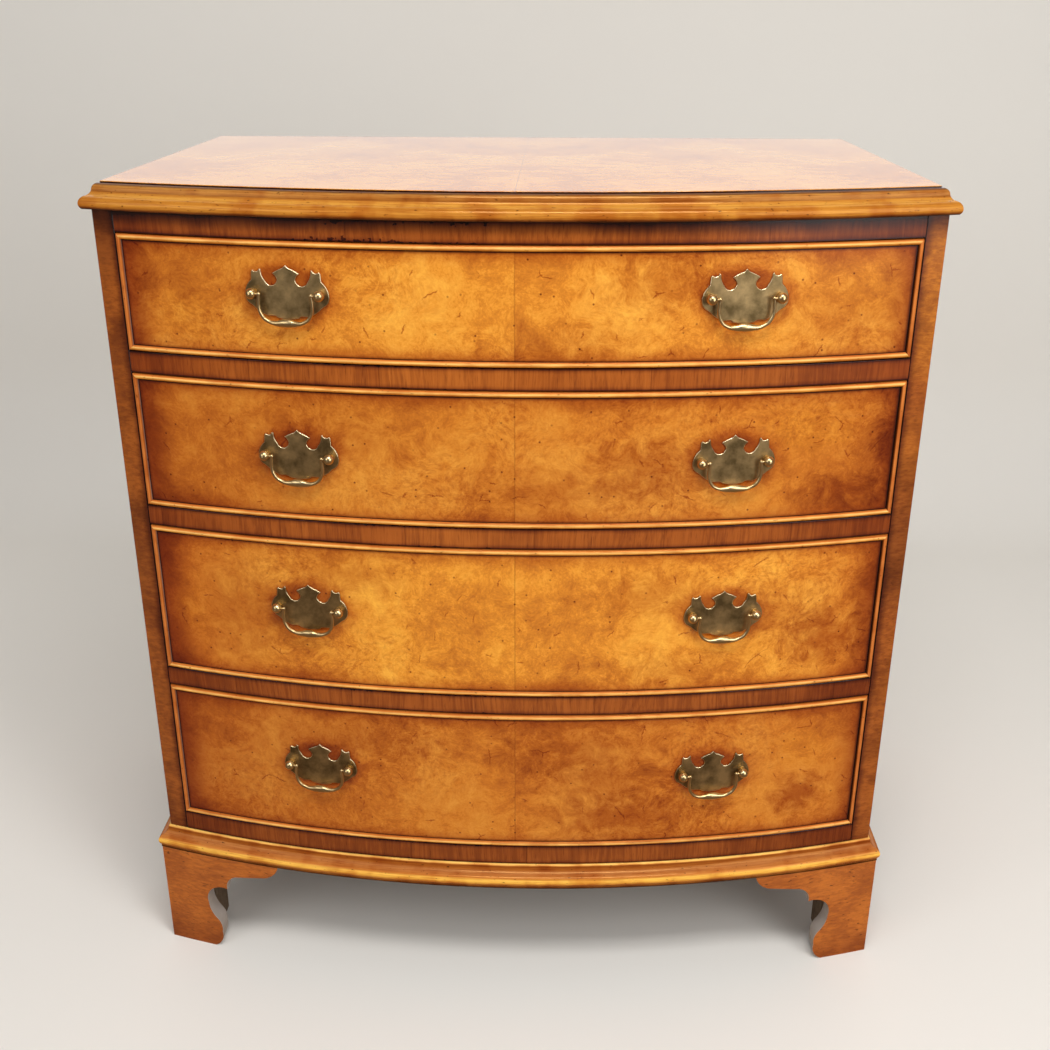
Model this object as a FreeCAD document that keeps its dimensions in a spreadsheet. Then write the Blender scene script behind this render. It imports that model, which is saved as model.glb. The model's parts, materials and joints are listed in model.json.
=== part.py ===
# Bow front chest of drawers in walnut: four graduated drawers with cockbeads and swan-neck handles,
# a moulded top, a moulded base frame and four bracket feet.
#
# Frame: +X to the right, +Y to the back, +Z up, origin on the floor below the middle of the chest.
# Most pieces are drawn in plan about the centre of the bow: there the front of the carcass is an arc
# of radius bow_radius, and an offset grows outwards from that arc and from the carcass sides.
import FreeCAD, Part
import math
import os
import re

import Sketcher
from FreeCAD import Placement, Rotation, Vector

SIZES = {
    # carcass
    "carcass_width": 740.0,
    "carcass_depth": 420.0,
    "bow_rise": 55.0,
    "side_thickness": 20.0,
    "stile_depth": 22.0,
    "back_thickness": 6.0,
    "back_rebate": 8.0,
    "bottom_thickness": 12.0,
    "rail_thickness": 20.0,
    "top_rail_height": 19.4,
    "bottom_rail_height": 21.8,
    "rail_setback": 30.0,
    "runner_width": 24.0,
    "stop_height": 5.0,
    "stop_depth": 12.0,
    "stop_width": 30.0,
    "stop_place": 120.0,
    "stop_clearance": 0.3,
    # top and base
    "top_height": 22.6,
    "top_overhang": 8.9,
    "top_panel_inset": 8.1,
    "base_height": 23.1,
    "base_overhang": 12.1,
    "base_frame_width": 45.0,
    # feet
    "foot_height": 119.3,
    "foot_offset": 9.4,
    "foot_length": 131.0,
    "foot_thickness": 20.0,
    "rear_bracket_length": 100.0,
    "rear_tip_height": 24.0,
    "rear_toe_width": 30.0,
    "rear_toe_height": 36.0,
    "block_size": 30.0,
    "block_clearance": 4.0,
    # drawers
    "drawer_gap": 0.8,
    "drawer_1_height": 103.8,
    "drawer_2_height": 127.7,
    "drawer_3_height": 152.5,
    "drawer_4_height": 152.1,
    "front_thickness": 24.0,
    "drawer_side_thickness": 10.0,
    "drawer_side_drop": 7.0,
    "drawer_back_drop": 8.0,
    "drawer_back_thickness": 10.0,
    "drawer_bottom_thickness": 5.0,
    "drawer_bottom_rise": 9.0,
    "groove_depth": 5.0,
    "groove_clearance": 0.1,
    "rear_clearance": 10.0,
    "cut_margin": 1.0,
    "bead_width": 5.0,
    "bead_depth": 10.0,
    "bead_proud": 2.2,
    "pin_width": 7.0,
    "tail_flare": 1.5,
    "tail_lap": 1.0,
    "tail_pitch": 30.0,
    # handles
    "handle_place": 195.0,
    "handle_above_1": 7.6,
    "handle_above_2": -1.4,
    "handle_above_3": 7.6,
    "handle_above_4": 6.5,
    "post_spacing": 60.5,
    "post_stem_radius": 2.0,
    "post_hole_clearance": 0.25,
    "post_collar_radius": 4.2,
    "post_collar_height": 0.8,
    "post_neck_radius": 2.6,
    "post_ball_radius": 4.75,
    "post_reach": 7.0,
    "post_end": 2.0,
    "nut_width": 8.0,
    "nut_height": 3.5,
    "nut_clearance": 0.6,
    "plate_width": 75.5,
    "plate_rise": 24.3,
    "plate_drop": 23.0,
    "plate_thickness": 1.6,
    "pintle_radius": 1.25,
    "pintle_clearance": 0.05,
    "pintle_end_clearance": 0.5,
    "pintle_grip": 2.5,
    "bail_drop": 24.5,
    "bail_arm_radius": 1.5,
    "bail_head_radius": 1.8,
    "bail_arm_gap": 0.65,
    "bail_belly_radius": 3.6,
    # back panel screws
    "screw_radius": 1.5,
    "screw_head_radius": 3.5,
    "screw_head_depth": 2.0,
    "screw_length": 16.0,
    "screw_margin": 40.0,
}

DERIVED = {
    "half_width": "carcass_width / 2",
    "bow_radius": "(half_width^2 + bow_rise^2) / (2 * bow_rise)",
    "corner_y": "bow_rise - bow_radius",
    "back_y": "corner_y + carcass_depth",
    "bow_centre_y": "(bow_radius + base_overhang - back_y) / 2",
    "mitre_slope": "(bow_radius - half_width) / (bow_radius - bow_rise)",
    "opening_half": "half_width - side_thickness",
    "front_half": "opening_half - drawer_gap",
    "inner_half": "front_half - drawer_side_thickness",
    "rail_back_y": "corner_y + rail_setback",
    "panel_front_y": "back_y - back_thickness",
    "drawer_end_y": "panel_front_y - rear_clearance",
    "tail_root_y": "-sqrt((bow_radius - front_thickness)^2 - inner_half^2)",
    "tail_tip_y": "-sqrt((bow_radius - bead_depth)^2 - front_half^2) + tail_lap",
    "level_carcass": "foot_height + base_height",
    "level_drawer_4": "level_carcass + bottom_rail_height",
    "level_rail_3": "level_drawer_4 + drawer_4_height + 2 * drawer_gap",
    "level_drawer_3": "level_rail_3 + rail_thickness",
    "level_rail_2": "level_drawer_3 + drawer_3_height + 2 * drawer_gap",
    "level_drawer_2": "level_rail_2 + rail_thickness",
    "level_rail_1": "level_drawer_2 + drawer_2_height + 2 * drawer_gap",
    "level_drawer_1": "level_rail_1 + rail_thickness",
    "level_top_rail": "level_drawer_1 + drawer_1_height + 2 * drawer_gap",
    "level_top": "level_top_rail + top_rail_height",
    "carcass_height": "level_top - level_carcass",
    "foot_edge": "half_width + foot_offset",
    "foot_inner_edge": "foot_edge - foot_thickness",
    "post_half": "post_spacing / 2",
    "bail_arm_x": "post_half - post_ball_radius - bail_arm_gap - bail_arm_radius",
    "pintle_tip": "post_half + pintle_grip",
}

LEFT, RIGHT = 1, -1
DRAWERS = ("1", "2", "3", "4")
SCREW_ROWS = 5

document = FreeCAD.newDocument("BowFrontChest")
subparts = []


# ---- the sheet of sizes --------------------------------------------------------------------------

def make_sheet():
    sheet = document.addObject("Spreadsheet::Sheet", "Sizes")
    for row, (name, value) in enumerate(SIZES.items(), start=1):
        sheet.set(f"A{row}", name)
        sheet.set(f"B{row}", str(value))
        sheet.setAlias(f"B{row}", name)
    document.recompute()
    return sheet


def make_derived():
    derived = document.addObject("App::VarSet", "Derived")
    for name, text in DERIVED.items():
        derived.addProperty("App::PropertyFloat", name, "Worked out")
        derived.setExpression(name, bound(text))
        document.recompute()
    return derived


def bound(text):
    """An expression in plain size names, as the document's expression engine reads it."""
    def owner(match):
        word = match.group()
        if word in SIZES:
            return "Sizes." + word
        if word in DERIVED:
            return "Derived." + word
        return word
    return re.sub(r"[a-z][a-z_0-9]*", owner, str(text))


def number(text):
    return float(sizes.evalExpression(bound(text)))


sizes = make_sheet()
make_derived()


# ---- sketches and features -----------------------------------------------------------------------

def chord_radius(start, end, bulge):
    """The radius of an arc whose rise is a share, bulge, of its chord."""
    chord = f"sqrt((({end[0]}) - ({start[0]}))^2 + (({end[1]}) - ({start[1]}))^2)"
    return f"{(1 + 4 * bulge * bulge) / (8 * abs(bulge))} * {chord}"


def arc_between(start, end, radius, turn):
    """The shorter arc from start to end that turns left or right."""
    chord = end - start
    middle = (start + end) / 2
    normal = Vector(-chord.y, chord.x, 0).normalize() * turn
    centre = middle + normal * math.sqrt(radius * radius - chord.Length * chord.Length / 4)
    first, last = (start, end) if turn == LEFT else (end, start)
    angles = [math.atan2(point.y - centre.y, point.x - centre.x) for point in (first, last)]
    return Part.ArcOfCircle(Part.Circle(centre, Vector(0, 0, 1), radius), *angles)


def constrain(drawn, kind, geometry, position, text):
    row = drawn.addConstraint(Sketcher.Constraint(kind, geometry, *position, number(text)))
    drawn.setExpression(f"Constraints[{row}]", bound(text))


def draw_loop(drawn, loop):
    """A closed outline. A corner (x, y) is reached by a line, (x, y, bulge) by an arc that bulges to
    the right of the way when bulge is positive, and (x, y, radius, turn) by an arc of that radius."""
    points = [Vector(number(corner[0]), number(corner[1]), 0) for corner in loop]
    first = drawn.GeometryCount
    ends = []
    for index, corner in enumerate(loop):
        start, end = points[index - 1], points[index]
        if len(corner) == 2:
            drawn.addGeometry(Part.LineSegment(start, end), False)
            ends.append((1, 2))
            continue
        if len(corner) == 3:
            radius = chord_radius(loop[index - 1], corner, corner[2])
            turn = LEFT if corner[2] > 0 else RIGHT
        else:
            radius, turn = corner[2], corner[3]
        row = drawn.addGeometry(arc_between(start, end, number(radius), turn), False)
        constrain(drawn, "Radius", row, (), radius)
        ends.append((1, 2) if turn == LEFT else (2, 1))
    for index, corner in enumerate(loop):
        here, there = first + index, first + (index + 1) % len(loop)
        end = ends[index][1]
        start = ends[(index + 1) % len(loop)][0]
        drawn.addConstraint(Sketcher.Constraint("Coincident", here, end, there, start))
        constrain(drawn, "DistanceX", here, (end,), corner[0])
        constrain(drawn, "DistanceY", here, (end,), corner[1])


def draw_circle(drawn, x, y, radius):
    circle = Part.Circle(Vector(number(x), number(y), 0), Vector(0, 0, 1), number(radius))
    row = drawn.addGeometry(circle, False)
    constrain(drawn, "Radius", row, (), radius)
    constrain(drawn, "DistanceX", row, (3,), x)
    constrain(drawn, "DistanceY", row, (3,), y)


def sketch(body, plane, loops=(), circles=(), offset="0"):
    drawn = body.newObject("Sketcher::SketchObject", "Outline")
    base = next(item for item in body.Origin.OriginFeatures if item.Role == plane)
    drawn.AttachmentSupport = [(base, "")]
    drawn.MapMode = "FlatFace"
    drawn.setExpression("AttachmentOffset.Base.z", bound(offset))
    for loop in loops:
        draw_loop(drawn, loop)
    for circle in circles:
        draw_circle(drawn, *circle)
    return drawn


def new_body(name, level=None):
    """A body drawn about the centre of the bow and lifted to its level. Without a level it stays
    at the origin, as the pieces of a handle do."""
    body = document.addObject("PartDesign::Body", name)
    body.Label = name
    if level is not None:
        body.setExpression("Placement.Base.y", bound("bow_centre_y"))
        body.setExpression("Placement.Base.z", bound(level))
    return body


def pad(body, drawn, length):
    made = body.newObject("PartDesign::Pad", "Pad")
    made.Profile = drawn
    made.setExpression("Length", bound(length))
    return made


def revolve(body, drawn, axis, half_angle=None):
    made = body.newObject("PartDesign::Revolution", "Revolution")
    made.Profile = drawn
    line = next(item for item in body.Origin.OriginFeatures if item.Role == axis)
    made.ReferenceAxis = (line, [""])
    if half_angle is None:
        made.Angle = 360.0
    else:
        made.Midplane = True
        made.setExpression("Angle", bound(f"2 * ({half_angle})"))
    return made


def cut(body, drawn, depth=None):
    """A pocket, through everything both ways or to a depth against the sketch's normal."""
    document.recompute()
    before = body.Shape.Volume
    made = body.newObject("PartDesign::Pocket", "Pocket")
    made.Profile = drawn
    if depth is None:
        made.Type = "ThroughAll"
        made.Midplane = True
    else:
        made.setExpression("Length", bound(depth))
    document.recompute()
    if made.Shape.Volume >= before:
        raise RuntimeError(f"{body.Label}: a pocket cuts nothing")
    return made


def board(name, outline, level, height):
    body = new_body(name, level)
    pad(body, sketch(body, "XY_Plane", [outline]), height)
    return body


def mirrored(name, source):
    copy = document.addObject("Part::Mirroring", name)
    copy.Label = name
    copy.Source = source
    copy.Normal = Vector(1, 0, 0)
    return copy


def group(name, members):
    compound = document.addObject("Part::Compound", name)
    compound.Label = name
    compound.Links = members
    return compound


def drilled(name, base, tool):
    result = document.addObject("Part::Cut", name)
    result.Label = name
    result.Base = base
    result.Tool = tool
    return result


def subpart(piece):
    subparts.append(piece)
    return piece


# ---- outlines in plan, about the centre of the bow -----------------------------------------------

def bow(x, offset):
    """The y of the bow, moved outwards by offset, at a distance x from the middle."""
    return f"-sqrt((bow_radius + ({offset}))^2 - ({x})^2)"


def box_outline(x0, x1, y0, y1):
    return [(x0, y0), (x1, y0), (x1, y1), (x0, y1)]


def bowed_outline(half, offset, back):
    """A board with a bowed front edge and a straight back edge."""
    return [(f"-({half})", back), (f"-({half})", bow(half, offset)),
            (half, bow(half, offset), f"bow_radius + ({offset})", LEFT), (half, back)]


def band_outline(half, outer, inner):
    """A curved board between two arcs of the bow."""
    return [(f"-({half})", bow(half, outer)), (half, bow(half, outer), f"bow_radius + ({outer})", LEFT),
            (half, bow(half, inner)), (f"-({half})", bow(half, inner), f"bow_radius + ({inner})", RIGHT)]


def mitre_point(offset):
    """A point on the mitre line, which runs through the carcass's front corner."""
    return f"half_width + ({offset})", f"corner_y - mitre_slope * ({offset})"


def mitre_region(reach, side_piece):
    """What the mitre takes off the right end of a front piece, or off the front of a side piece."""
    inner, outer = mitre_point(f"-({reach})"), mitre_point(reach)
    ahead, behind = f"({outer[1]}) - ({reach})", f"({inner[1]}) + ({reach})"
    beyond = f"({outer[0]}) + ({reach})"
    if side_piece:
        return [inner, (inner[0], ahead), (outer[0], ahead), outer]
    return [inner, outer, (beyond, outer[1]), (beyond, behind), (inner[0], behind)]


def flip(loop):
    """The same outline seen in a mirror."""
    flipped = []
    for corner in loop:
        place = (f"-({corner[0]})", corner[1])
        if len(corner) == 3:
            place += (-corner[2],)
        if len(corner) == 4:
            place += (corner[2], -corner[3])
        flipped.append(place)
    return flipped


# ---- mouldings -----------------------------------------------------------------------------------

# Each corner: share of the moulding's whole projection, share of its height, bulge of the arc to it.
TOP_PROFILE = [(0.0, 0.0), (0.86, 0.0), (1.0, 0.20, 0.12), (0.66, 0.49, 0.184), (0.38, 0.70, -0.14),
               (0.13, 0.925, 0.175), (0.0, 0.925)]
# Each corner: share of the overhang, share of the height, bulge of the arc to it. No arc of either
# profile swells out past its own ends.
BASE_PROFILE = [(0.82, 0.0), (0.82, 0.13), (0.86, 0.15), (1.0, 0.36, 0.08), (0.60, 0.62, 0.172),
                (0.16, 0.90, -0.17), (0.16, 0.93), (0.08, 1.0, 0.13)]
FLATS = 4


def flats(loop):
    """The same outline with each arc run as a few flats, which meet cleanly at a mitre."""
    outline = []
    for index, corner in enumerate(loop):
        if len(corner) == 3:
            (x0, y0), (x1, y1) = loop[index - 1][:2], corner[:2]
            half_turn = 2 * math.atan(2 * corner[2])
            for step in range(1, FLATS):
                angle = half_turn * (2 * step / FLATS - 1)
                along = (1 + math.sin(angle) / math.sin(half_turn)) / 2
                out = (math.cos(angle) - math.cos(half_turn)) / math.sin(half_turn) / 2
                outline.append((f"({x0}) * {1 - along} + ({x1}) * {along} + ({out}) * (({y1}) - ({y0}))",
                                f"({y0}) * {1 - along} + ({y1}) * {along} - ({out}) * (({x1}) - ({x0}))"))
        outline.append(corner[:2])
    return outline


def top_profile():
    loop = []
    for share, rise, *bulge in TOP_PROFILE:
        offset = f"{share} * (top_overhang + top_panel_inset) - top_panel_inset"
        loop.append((offset, f"{rise} * top_height", *bulge))
    return flats(loop)


def base_profile():
    loop = [("-base_frame_width", "0")]
    for share, rise, *bulge in BASE_PROFILE:
        loop.append((f"{share} * base_overhang", f"{rise} * base_height", *bulge))
    loop.append(("-base_frame_width", "base_height"))
    return flats(loop)


def front_moulding(name, profile, level, reach):
    """A bowed moulding: its profile turned about the centre of the bow to a reach past the carcass's
    corners, and mitred at both ends."""
    body = new_body(name, level)
    section = [(f"bow_radius + {corner[0]}", *corner[1:]) for corner in profile]
    revolve(body, sketch(body, "YZ_Plane", [flip(section)]), "Z_Axis",
            f"asin((half_width + {reach}) / bow_radius)")
    end = mitre_region(f"2 * {reach}", side_piece=False)
    cut(body, sketch(body, "XY_Plane", [end, flip(end)]))
    return body


def side_moulding(name, profile, level, reach):
    """A straight moulding along the right side, mitred at the front."""
    body = new_body(name, level)
    section = [(f"half_width + {corner[0]}", *corner[1:]) for corner in profile]
    pad(body, sketch(body, "XZ_Plane", [section], offset="-back_y"), f"carcass_depth + {reach}")
    cut(body, sketch(body, "XY_Plane", [mitre_region(f"2 * {reach}", side_piece=True)]))
    return body


def make_top():
    outline = bowed_outline("half_width - top_panel_inset", "-top_panel_inset", "back_y")
    subpart(board("top_panel", outline, "level_top", "top_height"))
    reach = "(top_overhang + top_panel_inset)"
    subpart(front_moulding("top_moulding_front", top_profile(), "level_top", reach))
    right = subpart(side_moulding("top_moulding_right", top_profile(), "level_top", reach))
    subpart(mirrored("top_moulding_left", right))


def make_base():
    subpart(front_moulding("base_moulding_front", base_profile(), "foot_height", "base_frame_width"))
    right = subpart(side_moulding("base_moulding_right", base_profile(), "foot_height", "base_frame_width"))
    subpart(mirrored("base_moulding_left", right))
    half = "half_width - base_frame_width"
    outline = box_outline(f"-({half})", half, "back_y - base_frame_width", "back_y")
    subpart(board("base_frame_back", outline, "foot_height", "base_height"))


# ---- carcass -------------------------------------------------------------------------------------

def make_screws():
    """Countersunk screws that hold the back panel in its rebates, in a row down each side."""
    screw = new_body("back_screw")
    profile = [("0", "0"), ("screw_head_radius", "0"), ("screw_radius", "-screw_head_depth"),
               ("screw_radius", "-screw_length"), ("0", "-screw_length - screw_radius")]
    revolve(screw, sketch(screw, "XY_Plane", [profile]), "Y_Axis")
    right = []
    for row in range(SCREW_ROWS):
        link = document.addObject("App::Link", "back_screw_place")
        link.LinkedObject = screw
        rise = f"(carcass_height - 2 * screw_margin) * {row / (SCREW_ROWS - 1)}"
        link.setExpression("LinkPlacement.Base.x", bound("opening_half + back_rebate / 2"))
        link.setExpression("LinkPlacement.Base.y", bound("bow_centre_y + back_y"))
        link.setExpression("LinkPlacement.Base.z", bound(f"level_carcass + screw_margin + {rise}"))
        right.append(link)
    right_row = group("back_screws_right", right)
    return subpart(group("back_panel_screws", [right_row, mirrored("back_screws_left", right_row)]))


def make_sides(screws):
    outline = [("opening_half", "corner_y + stile_depth"), ("half_width", "corner_y + stile_depth"),
               ("half_width", "back_y"), ("opening_half + back_rebate", "back_y"),
               ("opening_half + back_rebate", "panel_front_y"), ("opening_half", "panel_front_y")]
    blank = board("side_blank", outline, "level_carcass", "carcass_height")
    right = subpart(drilled("side_right", blank, screws))
    subpart(mirrored("side_left", right))
    stile = [("opening_half", "corner_y + stile_depth"), ("opening_half", bow("opening_half", "0")),
             ("half_width", bow("half_width", "0"), "bow_radius", LEFT),
             ("half_width", "corner_y + stile_depth")]
    right_stile = subpart(board("stile_right", stile, "level_carcass", "carcass_height"))
    subpart(mirrored("stile_left", right_stile))


def make_back(screws):
    half = "opening_half + back_rebate"
    outline = box_outline(f"-({half})", half, "panel_front_y", "back_y")
    blank = board("back_blank", outline, "level_carcass", "carcass_height")
    subpart(drilled("back_panel", blank, screws))


def make_rails():
    rail = bowed_outline("opening_half", "0", "rail_back_y")
    subpart(board("top_rail", rail, "level_top_rail", "top_rail_height"))
    for count in (1, 2, 3):
        subpart(board(f"drawer_rail_{count}", rail, f"level_rail_{count}", "rail_thickness"))
    subpart(board("bottom_rail", rail, "level_carcass", "bottom_rail_height"))
    floor = box_outline("-opening_half", "opening_half", "rail_back_y", "panel_front_y")
    subpart(board("bottom_board", floor, "level_carcass", "bottom_thickness"))


def make_runners():
    """Strips that the drawers run on, and the kickers above the top drawer."""
    strip = box_outline("opening_half - runner_width", "opening_half", "rail_back_y", "panel_front_y")
    right = [board(f"runner_{count}", strip, f"level_rail_{count}", "rail_thickness")
             for count in DRAWERS[:3]]
    right.append(board("runner_4", strip, "level_carcass + bottom_thickness",
                       "bottom_rail_height - bottom_thickness"))
    right.append(board("kicker", strip, "level_top_rail", "top_rail_height"))
    right_side = group("runners_right", right)
    subpart(group("drawer_runners", [right_side, mirrored("runners_left", right_side)]))


def make_stops():
    """Blocks on the rails that stop each closed drawer at its front's inner face."""
    face = f"{bow('stop_place + stop_width / 2', '-front_thickness')} + stop_clearance"
    outline = box_outline("stop_place - stop_width / 2", "stop_place + stop_width / 2",
                          face, f"{face} + stop_depth")
    right = [board(f"stop_{count}", outline, f"level_drawer_{count}", "stop_height") for count in DRAWERS]
    right_side = group("stops_right", right)
    subpart(group("drawer_stops", [right_side, mirrored("stops_left", right_side)]))


# ---- feet ----------------------------------------------------------------------------------------

# The scroll cut of a bracket, from the tip of its wing to the floor: share of the bracket's length
# from its outer edge, share of its height, bulge of the arc to it.
SCROLL = [(1.0, 1.0), (0.88, 0.862, 0.14), (0.63, 0.815), (0.545, 0.665, -0.20), (0.365, 0.48, -0.30),
          (0.43, 0.31, -0.10), (0.46, 0.17, 0.12), (0.385, 0.0, 0.17)]


def scroll_region(edge, away):
    """The part of a bracket that the scroll cut takes away. Away is 1 where the wing runs to higher
    values of the sketch's first axis, and -1 where it runs to lower ones."""
    loop = []
    for share, rise, *bulge in SCROLL:
        turned = [-away * value for value in bulge]
        loop.append((f"{edge} + {away * share} * foot_length", f"{rise} * foot_height", *turned))
    below = "-0.1 * foot_height"
    loop.append((loop[-1][0], below))
    loop.append((f"{edge} + {away * 1.2} * foot_length", below))
    loop.append((f"{edge} + {away * 1.2} * foot_length", "foot_height"))
    return loop


def front_bracket():
    """The bowed bracket of the right front foot, mitred at the corner."""
    body = new_body("front_bracket", "0")
    start, inner = "foot_edge - foot_length", "foot_offset - foot_thickness"
    corner_out, corner_in = mitre_point("foot_offset"), mitre_point(inner)
    outline = [(start, bow(start, "foot_offset")),
               (*corner_out, "bow_radius + foot_offset", LEFT), corner_in,
               (start, bow(start, inner), f"bow_radius + ({inner})", RIGHT)]
    pad(body, sketch(body, "XY_Plane", [outline]), "foot_height")
    cut(body, sketch(body, "XZ_Plane", [scroll_region("foot_edge", -1)]))
    return body


def side_bracket():
    """The straight bracket of the right front foot."""
    body = new_body("side_bracket", "0")
    corner_out, corner_in = mitre_point("foot_offset"), mitre_point("foot_offset - foot_thickness")
    end = f"({corner_out[1]}) + foot_length"
    outline = [corner_in, corner_out, ("foot_edge", end), ("foot_inner_edge", end)]
    pad(body, sketch(body, "XY_Plane", [outline]), "foot_height")
    cut(body, sketch(body, "YZ_Plane", [scroll_region(corner_out[1], 1)]))
    return body


def rear_brackets():
    """The side bracket of the right rear foot, and the plain bracket across its back."""
    side = new_body("rear_side_bracket", "0")
    outline = box_outline("foot_inner_edge", "foot_edge", "back_y - foot_length", "back_y")
    pad(side, sketch(side, "XY_Plane", [outline]), "foot_height")
    cut(side, sketch(side, "YZ_Plane", [scroll_region("back_y", -1)]))
    back = new_body("rear_back_bracket", "0")
    toe, tip = "foot_inner_edge - rear_toe_width", "foot_inner_edge - rear_bracket_length"
    shape = [("foot_inner_edge", "0"), ("foot_inner_edge", "foot_height"), (tip, "foot_height"),
             (tip, "foot_height - rear_tip_height"), (toe, "rear_toe_height", -0.2), (toe, "0")]
    pad(back, sketch(back, "XZ_Plane", [shape], offset="-back_y"), "foot_thickness")
    return [side, back]


def make_feet():
    right = subpart(group("front_foot_right", [front_bracket(), side_bracket()]))
    subpart(mirrored("front_foot_left", right))
    rear = subpart(group("rear_foot_right", rear_brackets()))
    subpart(mirrored("rear_foot_left", rear))


def make_blocks():
    """Glue blocks in the corners behind the brackets."""
    outer, inner = "foot_inner_edge", "foot_inner_edge - block_size"
    face = "foot_offset - foot_thickness"
    height = "foot_height - block_clearance"
    outline = [(outer, f"{bow(outer, face)} + block_size"), (inner, f"{bow(outer, face)} + block_size"),
               (inner, bow(inner, face)), (outer, bow(outer, face), f"bow_radius + ({face})", LEFT)]
    front = board("front_block", outline, "block_clearance", height)
    square = box_outline(inner, outer, "back_y - foot_thickness - block_size", "back_y - foot_thickness")
    rear = board("rear_block", square, "block_clearance", height)
    right = group("blocks_right", [front, rear])
    subpart(group("foot_glue_blocks", [right, mirrored("blocks_left", right)]))


# ---- handles -------------------------------------------------------------------------------------

# A handle is drawn at the origin with its plate's back on the plane y = 0, facing -Y, and its posts
# at the height z = 0. Half of the plate's outline, from the top of the crown to the middle of the
# bottom tab: share of the half width, share of the rise or drop, and how far the arc to it swells
# outwards, as a share of its chord; a hollow is negative.
PLATE = [(0.0, 1.0), (0.12, 0.82, -0.10), (0.31, 0.70, 0.05), (0.235, 0.47, -0.14), (0.40, 0.27, -0.30),
         (0.565, 0.50, -0.30), (0.615, 0.865, -0.06), (0.69, 0.735, -0.16), (0.785, 0.785, -0.10),
         (0.83, 0.43, -0.05), (1.0, -0.02, 0.16), (0.87, -0.56, 0.20), (0.75, -0.62, -0.08),
         (0.55, -0.87, 0.14), (0.37, -0.85, -0.12), (0.26, -0.98, -0.12), (0.0, -1.0, 0.04)]

# Half of a bail, from the post to the middle: share of the arm's distance from the middle, share of
# the drop, heading in degrees, radius in the bail's plane, radius across it.
BAIL = [(1.0, 0.0, 270, "bail_arm_radius", "bail_arm_radius"),
        (1.02, 0.20, 271, "bail_arm_radius", "bail_arm_radius"),
        (1.03, 0.42, 266, "bail_arm_radius", "bail_arm_radius"),
        (0.97, 0.66, 248, "bail_arm_radius", "bail_arm_radius"),
        (0.81, 0.88, 220, "1.05 * bail_arm_radius", "bail_arm_radius"),
        (0.57, 1.0, 194, "1.15 * bail_arm_radius", "1.1 * bail_arm_radius"),
        (0.30, 1.01, 180, "0.76 * bail_belly_radius", "0.62 * bail_belly_radius"),
        (0.0, 1.0, 180, "bail_belly_radius", "0.8 * bail_belly_radius")]


def plate_outline():
    def place(side, share, rise):
        height = "plate_rise" if rise > 0 else "plate_drop"
        return f"{side * share} * plate_width / 2", f"{rise} * {height}"
    right = [(*place(1, corner[0], corner[1]), *[-value for value in corner[2:]]) for corner in PLATE]
    left = []
    for index in range(len(PLATE) - 2, -1, -1):
        bulge = [-value for value in PLATE[index + 1][2:]]
        left.append((*place(-1, *PLATE[index][:2]), *bulge))
    return [left[-1]] + right[1:] + left[:-1]


def make_plate():
    body = new_body("plate")
    hole = "post_stem_radius + post_hole_clearance"
    holes = [("post_half", "0", hole), ("-post_half", "0", hole)]
    pad(body, sketch(body, "XZ_Plane", [plate_outline()], holes), "plate_thickness")
    return body


def make_posts():
    """The two posts of a handle, each with a ball head bored for the bail's pintle."""
    body = new_body("post")
    collar = "plate_thickness + post_collar_height"
    neck = "sqrt(post_ball_radius^2 - post_neck_radius^2)"
    end = "front_thickness + nut_clearance + nut_height + post_end"
    profile = [("0", end), ("post_stem_radius", end), ("post_stem_radius", "-plate_thickness"),
               ("post_collar_radius", "-plate_thickness"), ("post_collar_radius", f"-({collar})"),
               ("post_neck_radius", f"-({collar})"), ("post_neck_radius", f"{neck} - post_reach"),
               ("post_ball_radius", "-post_reach", "post_ball_radius", RIGHT),
               ("0", "-post_reach - post_ball_radius", "post_ball_radius", RIGHT)]
    revolve(body, sketch(body, "XY_Plane", [profile]), "Y_Axis")
    bore = [("-post_reach", "0", "pintle_radius + pintle_clearance")]
    cut(body, sketch(body, "YZ_Plane", circles=bore, offset="pintle_grip + pintle_end_clearance"),
        "3 * post_ball_radius")
    link = document.addObject("App::Link", "post_place")
    link.LinkedObject = body
    link.setExpression("LinkPlacement.Base.x", bound("post_half"))
    return group("post_right", [link])


def make_nut():
    body = new_body("nut")
    corners = []
    for count in range(6):
        angle = math.radians(60 * count)
        corners.append((f"post_half + {math.cos(angle)} * nut_width / sqrt(3)",
                        f"{math.sin(angle)} * nut_width / sqrt(3)"))
    hole = [("post_half", "0", "post_stem_radius")]
    behind = "-front_thickness - nut_clearance - nut_height"
    pad(body, sketch(body, "XZ_Plane", [corners], hole, offset=behind), "nut_height")
    return body


def make_drill():
    """The hole for a post, through the plate's place and the drawer front."""
    body = new_body("drill")
    hole = [("post_half", "0", "post_stem_radius + post_hole_clearance")]
    pad(body, sketch(body, "XZ_Plane", circles=hole, offset="-2 * front_thickness"), "3 * front_thickness")
    return body


def bail_section(side, share, drop, heading, in_plane, across):
    """One oval section of the bail, square to the bail's line. Its radius in the bail's plane is
    the major one, so it is kept a little larger than the radius across."""
    angle = math.radians(heading if side > 0 else 360 - heading)
    along = Vector(math.cos(angle), 0, math.sin(angle)) * side
    normal = Vector(-along.z, 0, along.x)
    oval = document.addObject("Part::Ellipse", "bail_section")
    oval.Placement = Placement(Vector(0, 0, 0), Rotation(normal, Vector(0, -1, 0), along, "ZXY"))
    oval.setExpression("MajorRadius", bound(f"1.001 * {in_plane}"))
    oval.setExpression("MinorRadius", bound(across))
    oval.setExpression("Placement.Base.x", bound(f"{side * share} * bail_arm_x"))
    oval.setExpression("Placement.Base.y", bound("-post_reach"))
    oval.setExpression("Placement.Base.z", bound(f"{-drop} * bail_drop"))
    return oval


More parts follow.
